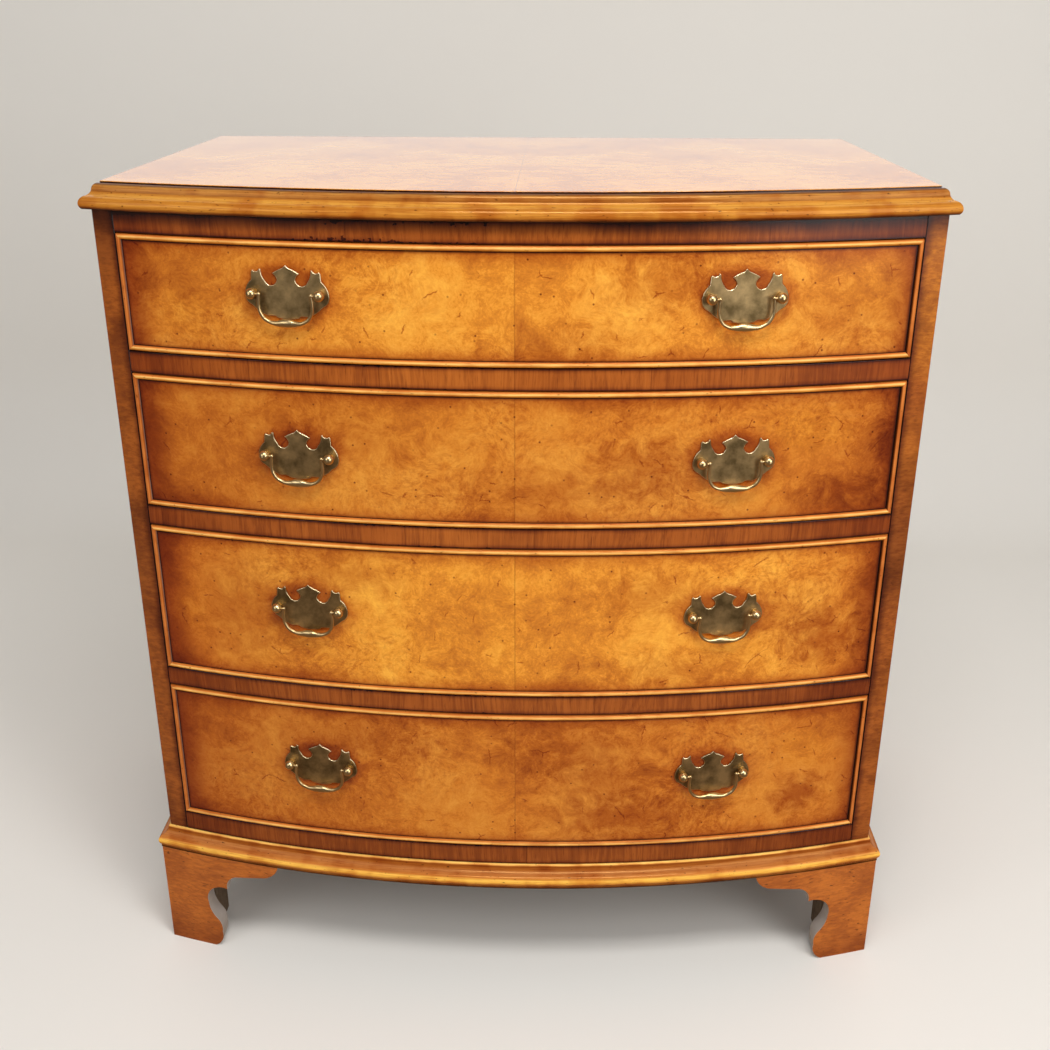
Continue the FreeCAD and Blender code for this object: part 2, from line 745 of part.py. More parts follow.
def make_bail():
    """A swan-neck bail: a swelling bow between two arms, with a pintle out of each arm's head."""
    sections = [bail_section(1, *row) for row in BAIL]
    sections += [bail_section(-1, *row) for row in BAIL[-2::-1]]
    bow_part = document.addObject("Part::Loft", "bail_bow")
    bow_part.Sections = sections
    bow_part.Solid = True
    head = document.addObject("Part::Sphere", "bail_head")
    head.setExpression("Radius", bound("bail_head_radius"))
    head.setExpression("Placement.Base.x", bound("bail_arm_x"))
    head.setExpression("Placement.Base.y", bound("-post_reach"))
    pintle = document.addObject("Part::Cylinder", "bail_pintle")
    pintle.Placement = Placement(Vector(0, 0, 0), Rotation(Vector(0, 1, 0), 90))
    pintle.setExpression("Radius", bound("pintle_radius"))
    pintle.setExpression("Height", bound("pintle_tip - bail_arm_x"))
    pintle.setExpression("Placement.Base.x", bound("bail_arm_x"))
    pintle.setExpression("Placement.Base.y", bound("-post_reach"))
    bail = document.addObject("Part::MultiFuse", "bail")
    bail.Shapes = [bow_part, head, pintle, mirrored("bail_head_left", head),
                   mirrored("bail_pintle_left", pintle)]
    return bail


def on_drawer(piece, name, count):
    """A handle's piece in its place on the right half of a drawer, square to the bow."""
    link = document.addObject("App::Link", name)
    link.LinkedObject = piece
    link.LinkPlacement = Placement(Vector(0, 0, 0), Rotation(Vector(0, 0, 1), 1))
    level = f"level_drawer_{count} + drawer_gap + drawer_{count}_height / 2 + handle_above_{count}"
    link.setExpression("LinkPlacement.Base.x", bound("handle_place"))
    link.setExpression("LinkPlacement.Base.y", bound(f"bow_centre_y {bow('handle_place', '0')}"))
    link.setExpression("LinkPlacement.Base.z", bound(level))
    link.setExpression("LinkPlacement.Rotation.Angle", bound("asin(handle_place / bow_radius)"))
    return link


def both_handles(piece, name, count):
    right = group(f"{name}_{count}_right_place", [on_drawer(piece, f"{name}_{count}_place", count)])
    return [mirrored(f"{name}_{count}_left_place", right), right]


def make_handle_masters():
    post = make_posts()
    nut = make_nut()
    drill = make_drill()
    return {
        "plate": make_plate(),
        "posts": group("post_pair", [post, mirrored("post_left", post), nut, mirrored("nut_left", nut)]),
        "drill": group("drill_pair", [drill, mirrored("drill_left", drill)]),
        "bail": make_bail(),
    }


def make_handles(masters, count):
    subpart(group(f"handle_plates_{count}", both_handles(masters["plate"], "plate", count)))
    subpart(group(f"handle_posts_{count}", both_handles(masters["posts"], "posts", count)))
    left, right = both_handles(masters["bail"], "bail", count)
    subpart(group(f"bail_{count}_left", [left]))
    subpart(group(f"bail_{count}_right", [right]))


# ---- drawers -------------------------------------------------------------------------------------

def side_height(count):
    return f"(drawer_gap + drawer_{count}_height - drawer_side_drop)"


def tail_loops(count):
    """The dovetails at the front of a drawer side, seen from its side."""
    number_of_tails = int(SIZES[f"drawer_{count}_height"] / SIZES["tail_pitch"])
    pitch = f"({side_height(count)} - drawer_gap - pin_width) / {number_of_tails}"
    loops = []
    for tail in range(number_of_tails):
        low = f"drawer_gap + pin_width + {tail} * {pitch}"
        high = f"{low} + {pitch} - pin_width"
        loops.append([("tail_tip_y", f"{low} - tail_flare"), ("tail_root_y", low),
                      ("tail_root_y", high), ("tail_tip_y", f"{high} + tail_flare")])
    return loops


def drawer_front(count, drill):
    """A bowed front with a rebate for the beads round its face, sockets for the sides' dovetails
    and a groove for the bottom."""
    body = new_body(f"front_blank_{count}", f"level_drawer_{count}")
    height = f"drawer_{count}_height"
    core = [("-front_half", bow("front_half", "-bead_depth")),
            ("front_half", bow("front_half", "-bead_depth"), "bow_radius - bead_depth", LEFT),
            ("front_half", "tail_root_y"), ("inner_half", "tail_root_y"),
            ("-inner_half", "tail_root_y", "bow_radius - front_thickness", RIGHT),
            ("-front_half", "tail_root_y")]
    pad(body, sketch(body, "XY_Plane", [core], offset="drawer_gap"), height)
    face = band_outline("front_half - bead_width", "0", "-bead_depth")
    pad(body, sketch(body, "XY_Plane", [face], offset="drawer_gap + bead_width"),
        f"{height} - 2 * bead_width")
    groove = band_outline("inner_half", "-front_thickness + groove_depth", "-front_thickness")
    groove_top = "drawer_bottom_rise + drawer_bottom_thickness + groove_clearance"
    cut(body, sketch(body, "XY_Plane", [groove], offset=groove_top),
        "drawer_bottom_thickness + 2 * groove_clearance")
    sockets = sketch(body, "YZ_Plane", tail_loops(count), offset="front_half")
    pocket = cut(body, sockets, "drawer_side_thickness")
    both = body.newObject("PartDesign::Mirrored", "BothEnds")
    both.Originals = [pocket]
    plane = next(item for item in body.Origin.OriginFeatures if item.Role == "YZ_Plane")
    both.MirrorPlane = (plane, [""])
    body.Tip = both
    tool = group(f"post_holes_{count}", both_handles(drill, "drill", count))
    return subpart(drilled(f"drawer_front_{count}", body, tool))


def drawer_box(count):
    """The two dovetailed sides and the back."""
    side = new_body(f"drawer_side_{count}_right", f"level_drawer_{count}")
    height = side_height(count)
    outline = box_outline("inner_half", "front_half", "tail_root_y", "drawer_end_y")
    pad(side, sketch(side, "XY_Plane", [outline]), height)
    pad(side, sketch(side, "YZ_Plane", tail_loops(count), offset="inner_half"), "drawer_side_thickness")
    groove = box_outline("inner_half - cut_margin", "inner_half + groove_depth",
                         "tail_root_y", "drawer_end_y + cut_margin")
    groove_top = "drawer_bottom_rise + drawer_bottom_thickness + groove_clearance"
    cut(side, sketch(side, "XY_Plane", [groove], offset=groove_top),
        "drawer_bottom_thickness + 2 * groove_clearance")
    level = f"level_drawer_{count} + drawer_bottom_rise + drawer_bottom_thickness"
    outline = box_outline("-inner_half", "inner_half", "drawer_end_y - drawer_back_thickness",
                          "drawer_end_y")
    back = board(f"drawer_back_{count}", outline, level,
                 f"{height} - drawer_bottom_rise - drawer_bottom_thickness - drawer_back_drop")
    left = mirrored(f"drawer_side_{count}_left", side)
    subpart(group(f"drawer_box_{count}", [side, left, back]))


def drawer_bottom(count):
    """A thin panel held in the grooves of the front and sides, under the back."""
    slack = "groove_clearance"
    reach = f"inner_half + groove_depth - {slack}"
    edge = f"-front_thickness + groove_depth - {slack}"
    inner = f"inner_half - {slack}"
    shoulder = "tail_root_y + tail_lap"
    outline = [(f"-({inner})", shoulder), (f"-({inner})", bow(inner, edge)),
               (inner, bow(inner, edge), f"bow_radius + ({edge})", LEFT), (inner, shoulder),
               (reach, shoulder), (reach, "drawer_end_y"), (f"-({reach})", "drawer_end_y"),
               (f"-({reach})", shoulder)]
    level = f"level_drawer_{count} + drawer_bottom_rise"
    subpart(board(f"drawer_bottom_{count}", outline, level, "drawer_bottom_thickness"))


def bead_mitre(count, upper, strip):
    """The corner that a 45 degree mitre takes off a bead strip, seen from the front: off an upright
    strip above the line, off a level strip below it, and the other way round at the bottom."""
    edge = f"drawer_gap + drawer_{count}_height" if upper else "drawer_gap"
    inward = -1 if upper else 1
    reach = "2 * bead_width"
    inner = (f"front_half - {reach}", f"{edge} + {inward} * {reach}")
    outer = (f"front_half + {reach}", f"{edge} - {inward} * {reach}")
    third = (inner[0], outer[1]) if strip == "upright" else (outer[0], inner[1])
    return [inner, outer, third]


def level_bead(count, upper):
    """The bead along the top or the bottom of a drawer front."""
    name = "top" if upper else "bottom"
    body = new_body(f"bead_{count}_{name}", f"level_drawer_{count}")
    low = f"drawer_gap + drawer_{count}_height - bead_width" if upper else "drawer_gap"
    high = f"{low} + bead_width"
    nose = number("bead_proud / bead_width")
    section = [("bow_radius - bead_depth", low), ("bow_radius", low), ("bow_radius", high, nose),
               ("bow_radius - bead_depth", high)]
    revolve(body, sketch(body, "YZ_Plane", [flip(section)]), "Z_Axis",
            "asin((front_half + bead_width) / bow_radius)")
    corner = bead_mitre(count, upper, "level")
    cut(body, sketch(body, "XZ_Plane", [corner, flip(corner)]))
    return body


def upright_bead(count):
    """The bead up the right end of a drawer front."""
    body = new_body(f"bead_{count}_right", f"level_drawer_{count}")
    inner = "front_half - bead_width"
    nose = number("bead_proud / bead_width * sqrt(bow_radius^2 - front_half^2) / bow_radius")
    section = [(inner, bow(inner, "0")), ("front_half", bow("front_half", "0"), nose),
               ("front_half", bow("front_half", "-bead_depth")),
               (inner, bow(inner, "-bead_depth"), "bow_radius - bead_depth", RIGHT)]
    pad(body, sketch(body, "XY_Plane", [section], offset="drawer_gap"), f"drawer_{count}_height")
    corners = [bead_mitre(count, upper, "upright") for upper in (True, False)]
    cut(body, sketch(body, "XZ_Plane", corners))
    return body


def cockbeads(count):
    right = upright_bead(count)
    members = [level_bead(count, True), level_bead(count, False), right,
               mirrored(f"bead_{count}_left", right)]
    subpart(group(f"cockbeads_{count}", members))


def make_drawers():
    masters = make_handle_masters()
    for count in DRAWERS:
        drawer_front(count, masters["drill"])
        cockbeads(count)
        drawer_box(count)
        drawer_bottom(count)
        make_handles(masters, count)


# ---- checks and files ----------------------------------------------------------------------------

def check_document():
    document.recompute()
    faults = [item.Label for item in document.Objects if {"Invalid", "Error"} & set(item.State)]
    for piece in subparts:
        if piece.Shape.isNull() or not piece.Shape.isValid() or not piece.Shape.Solids:
            faults.append(piece.Label + ": bad shape")
    if faults:
        raise RuntimeError("these failed: " + ", ".join(faults))


def write_files():
    os.makedirs("parts", exist_ok=True)
    for piece in subparts:
        piece.Shape.exportStep(f"parts/{piece.Label}.step")
        bounds = piece.Shape.BoundBox
        print(f"{piece.Label:22s} solids {len(piece.Shape.Solids):2d}  "
              f"x {bounds.XMin:8.2f} {bounds.XMax:8.2f}  y {bounds.YMin:8.2f} {bounds.YMax:8.2f}  "
              f"z {bounds.ZMin:8.2f} {bounds.ZMax:8.2f}")
    print(len(subparts), "sub-parts")


make_top()
make_base()
back_screws = make_screws()
make_sides(back_screws)
make_back(back_screws)
make_rails()
make_runners()
make_stops()
make_feet()
make_blocks()
make_drawers()
check_document()
write_files()
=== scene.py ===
"""A walnut bow front chest of drawers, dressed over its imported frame.

Run as a script, it dresses every piece: burr veneer on the drawer fronts and the top, cross-laid
rails, run mouldings, mitred cockbeads, cast brass handles and the bare timber inside.
"""
import json
import math

import bmesh
import bpy
from bpy.props import FloatProperty, FloatVectorProperty, PointerProperty
from mathutils import Matrix, Vector

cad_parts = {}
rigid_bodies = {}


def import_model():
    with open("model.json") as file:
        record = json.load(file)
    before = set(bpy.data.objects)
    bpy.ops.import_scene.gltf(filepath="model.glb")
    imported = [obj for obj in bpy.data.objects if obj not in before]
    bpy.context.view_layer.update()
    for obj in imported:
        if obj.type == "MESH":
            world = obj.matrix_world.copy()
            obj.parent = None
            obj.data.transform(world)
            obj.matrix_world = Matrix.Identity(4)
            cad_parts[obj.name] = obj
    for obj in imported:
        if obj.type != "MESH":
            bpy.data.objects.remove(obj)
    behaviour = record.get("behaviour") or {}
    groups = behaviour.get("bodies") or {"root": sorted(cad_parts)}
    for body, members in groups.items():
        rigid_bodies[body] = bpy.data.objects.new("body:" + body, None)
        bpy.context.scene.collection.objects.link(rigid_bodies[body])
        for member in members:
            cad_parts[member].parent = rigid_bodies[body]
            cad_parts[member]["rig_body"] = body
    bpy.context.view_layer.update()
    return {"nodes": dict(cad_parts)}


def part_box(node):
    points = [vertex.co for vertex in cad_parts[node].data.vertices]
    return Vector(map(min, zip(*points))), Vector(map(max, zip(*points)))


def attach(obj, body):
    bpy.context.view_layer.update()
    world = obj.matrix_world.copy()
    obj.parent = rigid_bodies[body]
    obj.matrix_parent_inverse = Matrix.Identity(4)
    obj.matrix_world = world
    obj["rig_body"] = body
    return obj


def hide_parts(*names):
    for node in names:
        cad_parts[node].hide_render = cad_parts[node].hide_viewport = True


bl_info = {
    "name": "Bow Front Chest",
    "version": (1, 0, 0),
    "blender": (4, 5, 0),
    "location": "View3D > Sidebar > Chest",
    "description": "Dresses a walnut bow front chest of drawers over its frame",
    "category": "Object",
}

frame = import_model()
SIDES = {"left": -1, "right": 1}

# What differs from drawer to drawer: what its polish lets through, how far up its handles' posts
# are, and a number for its own figure.
DRAWERS = {1: ((1.0, 1.0, 1.0), 0.7216, 4.1), 2: ((0.83, 0.72, 0.64), 0.57525, 7.7),
           3: ((1.05, 1.06, 0.93), 0.42255, 2.6), 4: ((0.80, 0.66, 0.58), 0.24755, 9.3)}

# Clouds in each drawer's veneer: where its middle is across and up from the drawer's middle, how far
# it spreads across and up, and how strong it is. A strength below 0 is a gold patch, not a brown one.
CLOUDS = {1: ((0.285, -0.008, 0.055, 0.040, 0.35), (0.130, 0.020, 0.060, 0.030, 0.5),
              (-0.255, 0.010, 0.070, 0.040, 0.15), (0.050, -0.030, 0.060, 0.020, 0.35),
              (0.300, 0.010, 0.045, 0.025, -0.35), (-0.290, -0.010, 0.030, 0.025, -0.3)),
          2: ((0.125, -0.010, 0.060, 0.035, 0.6), (-0.160, 0.020, 0.090, 0.030, 0.3),
              (0.030, -0.030, 0.090, 0.025, 0.4), (0.300, -0.036, 0.050, 0.018, 0.8),
              (0.265, 0.024, 0.045, 0.024, -0.7), (0.338, 0.0, 0.016, 0.050, 0.7)),
          3: ((0.295, -0.022, 0.045, 0.034, 0.8), (0.125, 0.030, 0.060, 0.030, 0.5),
              (-0.160, 0.045, 0.070, 0.025, 0.45), (0.160, -0.050, 0.080, 0.020, 0.5),
              (0.245, 0.005, 0.060, 0.035, 0.45), (0.335, 0.010, 0.018, 0.060, 0.6),
              (-0.255, 0.000, 0.050, 0.060, 0.4), (-0.325, -0.010, 0.030, 0.045, -0.6)),
          4: ((0.285, -0.030, 0.030, 0.025, 0.9), (0.110, -0.040, 0.090, 0.030, 0.75),
              (0.060, 0.035, 0.080, 0.030, 0.5), (-0.150, 0.040, 0.100, 0.025, 0.45),
              (0.085, 0.000, 0.070, 0.030, 0.45),
              (0.290, 0.028, 0.035, 0.028, -0.5))}

# What a brown cloud and a gold patch let through.
BROWN_CLOUD, GOLD_PATCH = "C39A7C", (1.2, 1.4, 1.2)

# How strong the haze of toner, deepened by painted shade, is at each drawer's left and right ends.
HAZE = {1: (0.42, 0.26), 2: (0.38, 0.24), 3: (0.72, 0.50), 4: (0.46, 0.10)}

# What the polish on each stile lets through, and its bands: how high each is, how far it reaches up
# and down, and how strong it is. A strength below 0 is a gold band, not a brown one.
STILES = {"left": ((0.84, 0.82, 0.8), ((0.765, 0.04, 0.7), (0.64, 0.04, 0.35), (0.46, 0.07, 0.45))),
          "right": ((0.92, 0.90, 0.88), ((0.765, 0.03, -0.6), (0.700, 0.075, -0.9), (0.575, 0.05, -0.25),
                                         (0.485, 0.07, 0.8), (0.430, 0.04, 0.5)))}

# What a brown band and a gold band let through.
BROWN_BAND, GOLD_BAND = (0.55, 0.5, 0.65), (1.5, 1.9, 1.5)

# How dark old polish has made each rail, and how badly its arrises are chipped.
RAILS = {"top_rail": (0.84, 1.0), "drawer_rail_1": (1.0, 0.25), "drawer_rail_2": (0.97, 0.35),
         "drawer_rail_3": (0.87, 0.35), "bottom_rail": (0.78, 0.35)}

# How long each leaf of veneer on a rail is.
RAIL_LEAF = 0.118

# How far the round on the arrises of each kind of piece reaches.
ROUNDS = {"top": 0.0005, "panel": 0.0006, "rail": 0.0004, "foot": 0.0008}

# Half of a handle plate's outline, from its peak round to its foot: share of the half width, share
# of the rise above the posts or of the drop below them, and the arc to it.
PLATE = [(0.0, 1.0), (0.085, 0.885, 0.05), (0.317, 0.708, -0.03), (0.216, 0.489, 0.105),
         (0.381, 0.274, 0.209), (0.507, 0.435, 0.15), (0.593, 0.808, 0.094), (0.620, 0.859),
         (0.786, 0.792, 0.30), (0.818, 0.72, -0.1), (0.830, 0.452), (1.0, -0.065, -0.11),
         (0.89, -0.421, -0.134), (0.75, -0.60, 0.04), (0.47, -0.85, -0.06), (0.33, -0.84, 0.03),
         (0.25, -0.91, 0.10), (0.0, -0.98, -0.03)]

# The right half of a bail, from the post down to its middle: share of an arm's place across, share
# of the drop, radius seen from the front, and how flat it is from front to back.
BAIL = [(1.0, 0.0, 0.0015, 1.0), (1.02, 0.20, 0.0015, 1.0), (1.03, 0.42, 0.0015, 1.0),
        (0.985, 0.64, 0.00155, 1.0), (0.84, 0.86, 0.0016, 1.0), (0.58, 0.99, 0.0017, 0.95),
        (0.32, 1.015, 0.0026, 0.85), (0.14, 1.0, 0.0034, 0.8), (0.0, 1.0, 0.0036, 0.8)]


# ---- colours, nodes and meshes -------------------------------------------------------------------

def linear(code):
    """An sRGB hex colour as the linear values that a shader reads."""
    parts = [int(code[at:at + 2], 16) / 255 for at in (0, 2, 4)]
    return tuple(v / 12.92 if v <= 0.04045 else ((v + 0.055) / 1.055) ** 2.4 for v in parts)


def add(tree, kind, *values, stops=(), **settings):
    """One node with its settings. A kind can carry its operation after a dot. The values go to the
    inputs in use in their order, or are a dict by the inputs' names. A value is a plain value, a
    colour, a socket, or a node, which gives its first output in use. Stops are a colour ramp's
    places and hex colours."""
    kind, _, operation = kind.partition(".")
    families = ("ShaderNode", "GeometryNode", "FunctionNode", "Node")
    made = tree.nodes.new(next(family + kind for family in families if hasattr(bpy.types, family + kind)))
    if operation:
        made.operation = operation
    for name, value in settings.items():
        setattr(made, name, value)
    for row, (place, code) in enumerate(stops):
        stop = made.color_ramp.elements[row] if row < 2 else made.color_ramp.elements.new(place)
        stop.position = place
        stop.color = (*linear(code), 1)
    in_use = (row for row, socket in enumerate(made.inputs) if socket.enabled)
    given = values[0] if values and isinstance(values[0], dict) else dict(zip(in_use, values))
    for key, value in given.items():
        if isinstance(value, bpy.types.Node):
            value = next(socket for socket in value.outputs if socket.enabled)
        if isinstance(value, bpy.types.NodeSocket):
            tree.links.new(value, made.inputs[key])
        elif made.inputs[key].type == "RGBA":
            made.inputs[key].default_value = (*(linear(value) if isinstance(value, str) else value), 1)
        else:
            made.inputs[key].default_value = value
    return made


def new_material(name):
    made = bpy.data.materials.new(name)
    made.use_nodes = True
    made.node_tree.nodes.clear()
    return made, made.node_tree


def new_finish(name):
    """A new material and its tree, with a point's place as a whole and as its three parts."""
    material, tree = new_material(name)
    place_in = add(tree, "TexCoord").outputs["Object"]
    return material, tree, place_in, add(tree, "SeparateXYZ", place_in).outputs


def new_object(name, mesh):
    made = bpy.data.objects.new(name, mesh)
    bpy.context.scene.collection.objects.link(made)
    return made


def mesh_of(name, points, faces=(), edges=()):
    mesh = bpy.data.meshes.new(name)
    mesh.from_pydata([tuple(point) for point in points], list(edges), [tuple(face) for face in faces])
    mesh.update()
    return mesh


def arc(start, end, bulge, steps):
    """Points after start, up to end, on an arc whose rise is a share, bulge, of its chord. It bulges
    to the right of the way when bulge is positive."""
    if not bulge:
        return [end]
    half = 2 * math.atan(2 * bulge)
    dx, dy = end[0] - start[0], end[1] - start[1]
    points = []
    for step in range(1, steps + 1):
        angle = half * (2 * step / steps - 1)
        along = (1 + math.sin(angle) / math.sin(half)) / 2
        out = (math.cos(angle) - math.cos(half)) / math.sin(half) / 2
        points.append((start[0] + along * dx + out * dy, start[1] + along * dy - out * dx))
    return points


def outline(corners, steps=6, pitch=None):
    """A closed outline from corners (x, y) or (x, y, bulge of the arc that leads to it). A pitch
    sets how far apart an arc's points are, instead of how many steps it has."""
    points = []
    for index, corner in enumerate(corners):
        start, bulge = corners[index - 1][:2], corner[2] if len(corner) > 2 else 0
        count = max(2, round(math.dist(start, corner[:2]) / pitch)) if pitch else steps
        points += arc(start, corner[:2], bulge, count)
    return points


def sharpened(mesh, degrees=32):
    """Smooth shading that breaks where faces meet at more than an angle."""
    mesh.shade_smooth()
    mesh.set_sharp_from_angle(angle=math.radians(degrees))
    return mesh


def outward(mesh):
    """The mesh with its faces turned outwards as a whole."""
    shell = bmesh.new()
    shell.from_mesh(mesh)
    if shell.calc_volume(signed=True) < 0:
        bmesh.ops.reverse_faces(shell, faces=shell.faces)
    shell.to_mesh(mesh)
    shell.free()
    return mesh


def eased(name, node, width, slot, materials):
    """A copy of a frame node with its arrises eased by a small round, as a polisher leaves them."""
    mesh = frame["nodes"][node].data.copy()
    mesh.materials.clear()
    shell = bmesh.new()
    shell.from_mesh(mesh)
    bmesh.ops.remove_doubles(shell, verts=shell.verts, dist=2e-6)
    pairs = {}
    for face in shell.faces:
        pairs.setdefault(frozenset(face.verts), []).append(face)
    inner = [face for faces in pairs.values() if len(faces) > 1 for face in faces]
    bmesh.ops.delete(shell, geom=inner, context="FACES")
    bmesh.ops.dissolve_limit(shell, angle_limit=math.radians(0.4), verts=shell.verts, edges=shell.edges)
    shell.to_mesh(mesh)
    shell.free()
    piece = new_object(name, mesh)
    ease(piece, width, materials)
    return place(piece, frame["nodes"][node]["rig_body"], slot, node)


def ease(piece, width, materials, clamp=True):
    """Rounds a piece's arrises. The rounds take the last of the materials."""
    for material in materials:
        piece.data.materials.append(material)
    sharpened(piece.data)
    bevel = piece.modifiers.new("Eased arris", "BEVEL")
    bevel.width = width
    bevel.segments = 2
    bevel.limit_method = "ANGLE"
    bevel.angle_limit = math.radians(40)
    bevel.use_clamp_overlap = clamp
    bevel.material = len(materials) - 1


def place(piece, body, slot, *nodes):
    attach(piece, body)
    if nodes:
        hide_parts(*nodes)
    return piece


def paint(node, material):
    """Gives a frame node that keeps its own shape its finish."""
    mesh = frame["nodes"][node].data
    mesh.materials.clear()
    mesh.materials.append(material)


# ---- sizes and colours that a user would change --------------------------------------------------

def length(label, about, default):
    return FloatProperty(name=label, description=about, default=default, unit="LENGTH", precision=5)


def colour(label, about, code):
    return FloatVectorProperty(name=label, description=about, subtype="COLOR", default=linear(code),
                               min=0, max=1)


class ChestShape(bpy.types.PropertyGroup):
    """The rule that the bowed pieces follow."""
    half_width: length("Half width", "From the middle to the carcass's side", 0.370)
    bow_radius: length("Bow radius", "Radius of the carcass's front in plan", 1.272045)
    bow_centre: length("Bow centre", "How far the bow's centre is behind the origin", 1.040595)
    back: length("Back", "Where the carcass's back is", 0.24355)
    front_half: length("Drawer half width", "From the middle to a drawer front's end", 0.3492)
    bead: length("Bead width", "Width of a cockbead seen from the front", 0.005)
    bead_proud: length("Bead height", "How far a cockbead stands proud of the front", 0.0022)
    bead_depth: length("Bead depth", "How deep a cockbead is let into the front", 0.010)
    handle_place: length("Handle place", "From the middle to a handle's middle", 0.195)


class WalnutFinish(bpy.types.PropertyGroup):
    """The colours of the polished walnut."""
    burr_light: colour("Burr, light", "The palest figure of the burr veneer", "F2AC42")
    burr_mid: colour("Burr, middle", "The ground of the burr veneer", "DE8C2A")
    burr_dark: colour("Burr, dark", "The darkest clouds of the burr veneer", "B4641E")
    plain_light: colour("Walnut, light", "Light grain of the plain walnut", "B5631F")
    plain_mid: colour("Walnut, middle", "The ground of the plain walnut", "A35518")
    plain_dark: colour("Walnut, dark", "Dark grain of the plain walnut", "864014")
    toner: colour("Toner", "What the brown toner in the polish lets through", "C58E7C")
    gloss: FloatProperty(name="Roughness", description="Roughness of the polish over the wood", default=0.2,
                         min=0, max=1, subtype="FACTOR")


class BrassFinish(bpy.types.PropertyGroup):
    """The sizes and colours of the cast brass handles."""
    plate_half: length("Plate half width", "From a plate's middle to its end", 0.03775)
    plate_rise: length("Plate rise", "From the posts up to a plate's peak", 0.0243)
    plate_drop: length("Plate drop", "From the posts down to a plate's foot", 0.0230)
    plate_thick: length("Plate thickness", "How thick a plate is", 0.0016)
    plate_ease: length("Plate arris", "How far cloths have rounded a plate's arris", 0.00045)
    arm_place: length("Arm place", "From a bail's middle to the top of its arm", 0.02335)
    bail_drop: length("Bail drop", "From the posts down to the middle of a bail's grip", 0.0245)
    bail_reach: length("Bail reach", "How far a bail hangs clear of the drawer", 0.0070)
    head_radius: length("Head radius", "Radius of the round head on an arm", 0.0018)
    pintle_radius: length("Pintle radius", "Radius of the pin that turns in a post", 0.00125)
    pintle_end: length("Pintle end", "From a bail's middle to the end of its pin", 0.03275)
    tarnish: colour("Tarnish", "The darkest toning on the flats", "7E6A46")
    patina: colour("Patina", "The toned brass on the flats", "D2B480")
    handled: colour("Handled brass", "Where hands have kept it clean", "DEC595")
    rubbed: colour("Rubbed brass", "Arrises that cloths have brightened", "F8E6BC")


class StudioSet(bpy.types.PropertyGroup):
    """The stand, the light and the camera."""
    floor: colour("Floor", "The floor and backdrop", "ECE8E1")
    key: FloatProperty(name="Key", description="Power of the tall lamp on the right", default=24,
                       unit="POWER")
    fill: FloatProperty(name="Fill", description="Power of the lamp on the left", default=9.6, unit="POWER")
    top: FloatProperty(name="Top", description="Power of the lamp overhead", default=24, unit="POWER")
    sky: FloatProperty(name="Ambient", description="Strength of the even light all round", default=0.29)
    lens: FloatProperty(name="Lens", description="Focal length", default=42.53, unit="CAMERA")


def setting(group):
    return getattr(bpy.context.scene, f"chest_{group}")


# ---- wood ----------------------------------------------------------------------------------------

def glazed(tree, wood, amount, tint, how="MULTIPLY"):
    """The wood seen through a transparent glaze, laid on by an amount from 0 to 1. A tint laid on
    as MIX is opaque, and hides what is under it."""
    return add(tree, "Mix", amount, wood, tint, data_type="RGBA", blend_type=how)


def from_edge(tree, at, low, high):
    """How far a coordinate is inside the nearer of two edges, in metres."""
    middle = add(tree, "Math.SUBTRACT", at, (low + high) / 2)
    away = add(tree, "Math.ABSOLUTE", middle)
    return add(tree, "Math.SUBTRACT", (high - low) / 2, away)


def fade(tree, value, full, none, strength=1.0, kind="SMOOTHSTEP"):
    """Strength where a value is at full, falling to 0 where it is at none."""
    ends = (full, none, strength, 0.0) if full <= none else (none, full, 0.0, strength)
    return add(tree, "MapRange", value, *ends, interpolation_type=kind)


def loosened(tree, value, noise, reach):
    """A distance that wanders by a reach, so that the edge of a glaze is hand-laid."""
    middle = add(tree, "Math.SUBTRACT", noise, 0.5)
    return add(tree, "Math.MULTIPLY_ADD", middle, reach, value)


def layered(tree, wood, *glazes):
    """The wood under several glazes. Each glaze is a value, where it is full, where it ends, its
    strength and its tint. It can also have a noise and how far that makes the value wander."""
    for value, full, none, strength, tint, *wander in glazes:
        if wander:
            value = loosened(tree, value, *wander)
        wood = glazed(tree, wood, fade(tree, value, full, none, strength), tint)
    return wood


def finished(material, values):
    """The material with its surface, from the values of a principled shader."""
    tree = material.node_tree
    add(tree, "OutputMaterial", add(tree, "BsdfPrincipled", values))
    return material


def french_polished(material, wood, relief, roughness=None, warmth=(1, 1, 1)):
    """Shellac rubbed over the wood. It gives a clear gloss that follows the grain a little. Warmth
    is the amber that old, thick shellac adds to what it mirrors."""
    bump = add(material.node_tree, "Bump", {"Strength": 0.35, "Distance": 0.00005, "Height": relief})
    return finished(material, {"Base Color": wood, "Roughness": roughness or setting("walnut").gloss,
                               "IOR": 1.5, "Specular Tint": warmth, "Normal": bump})


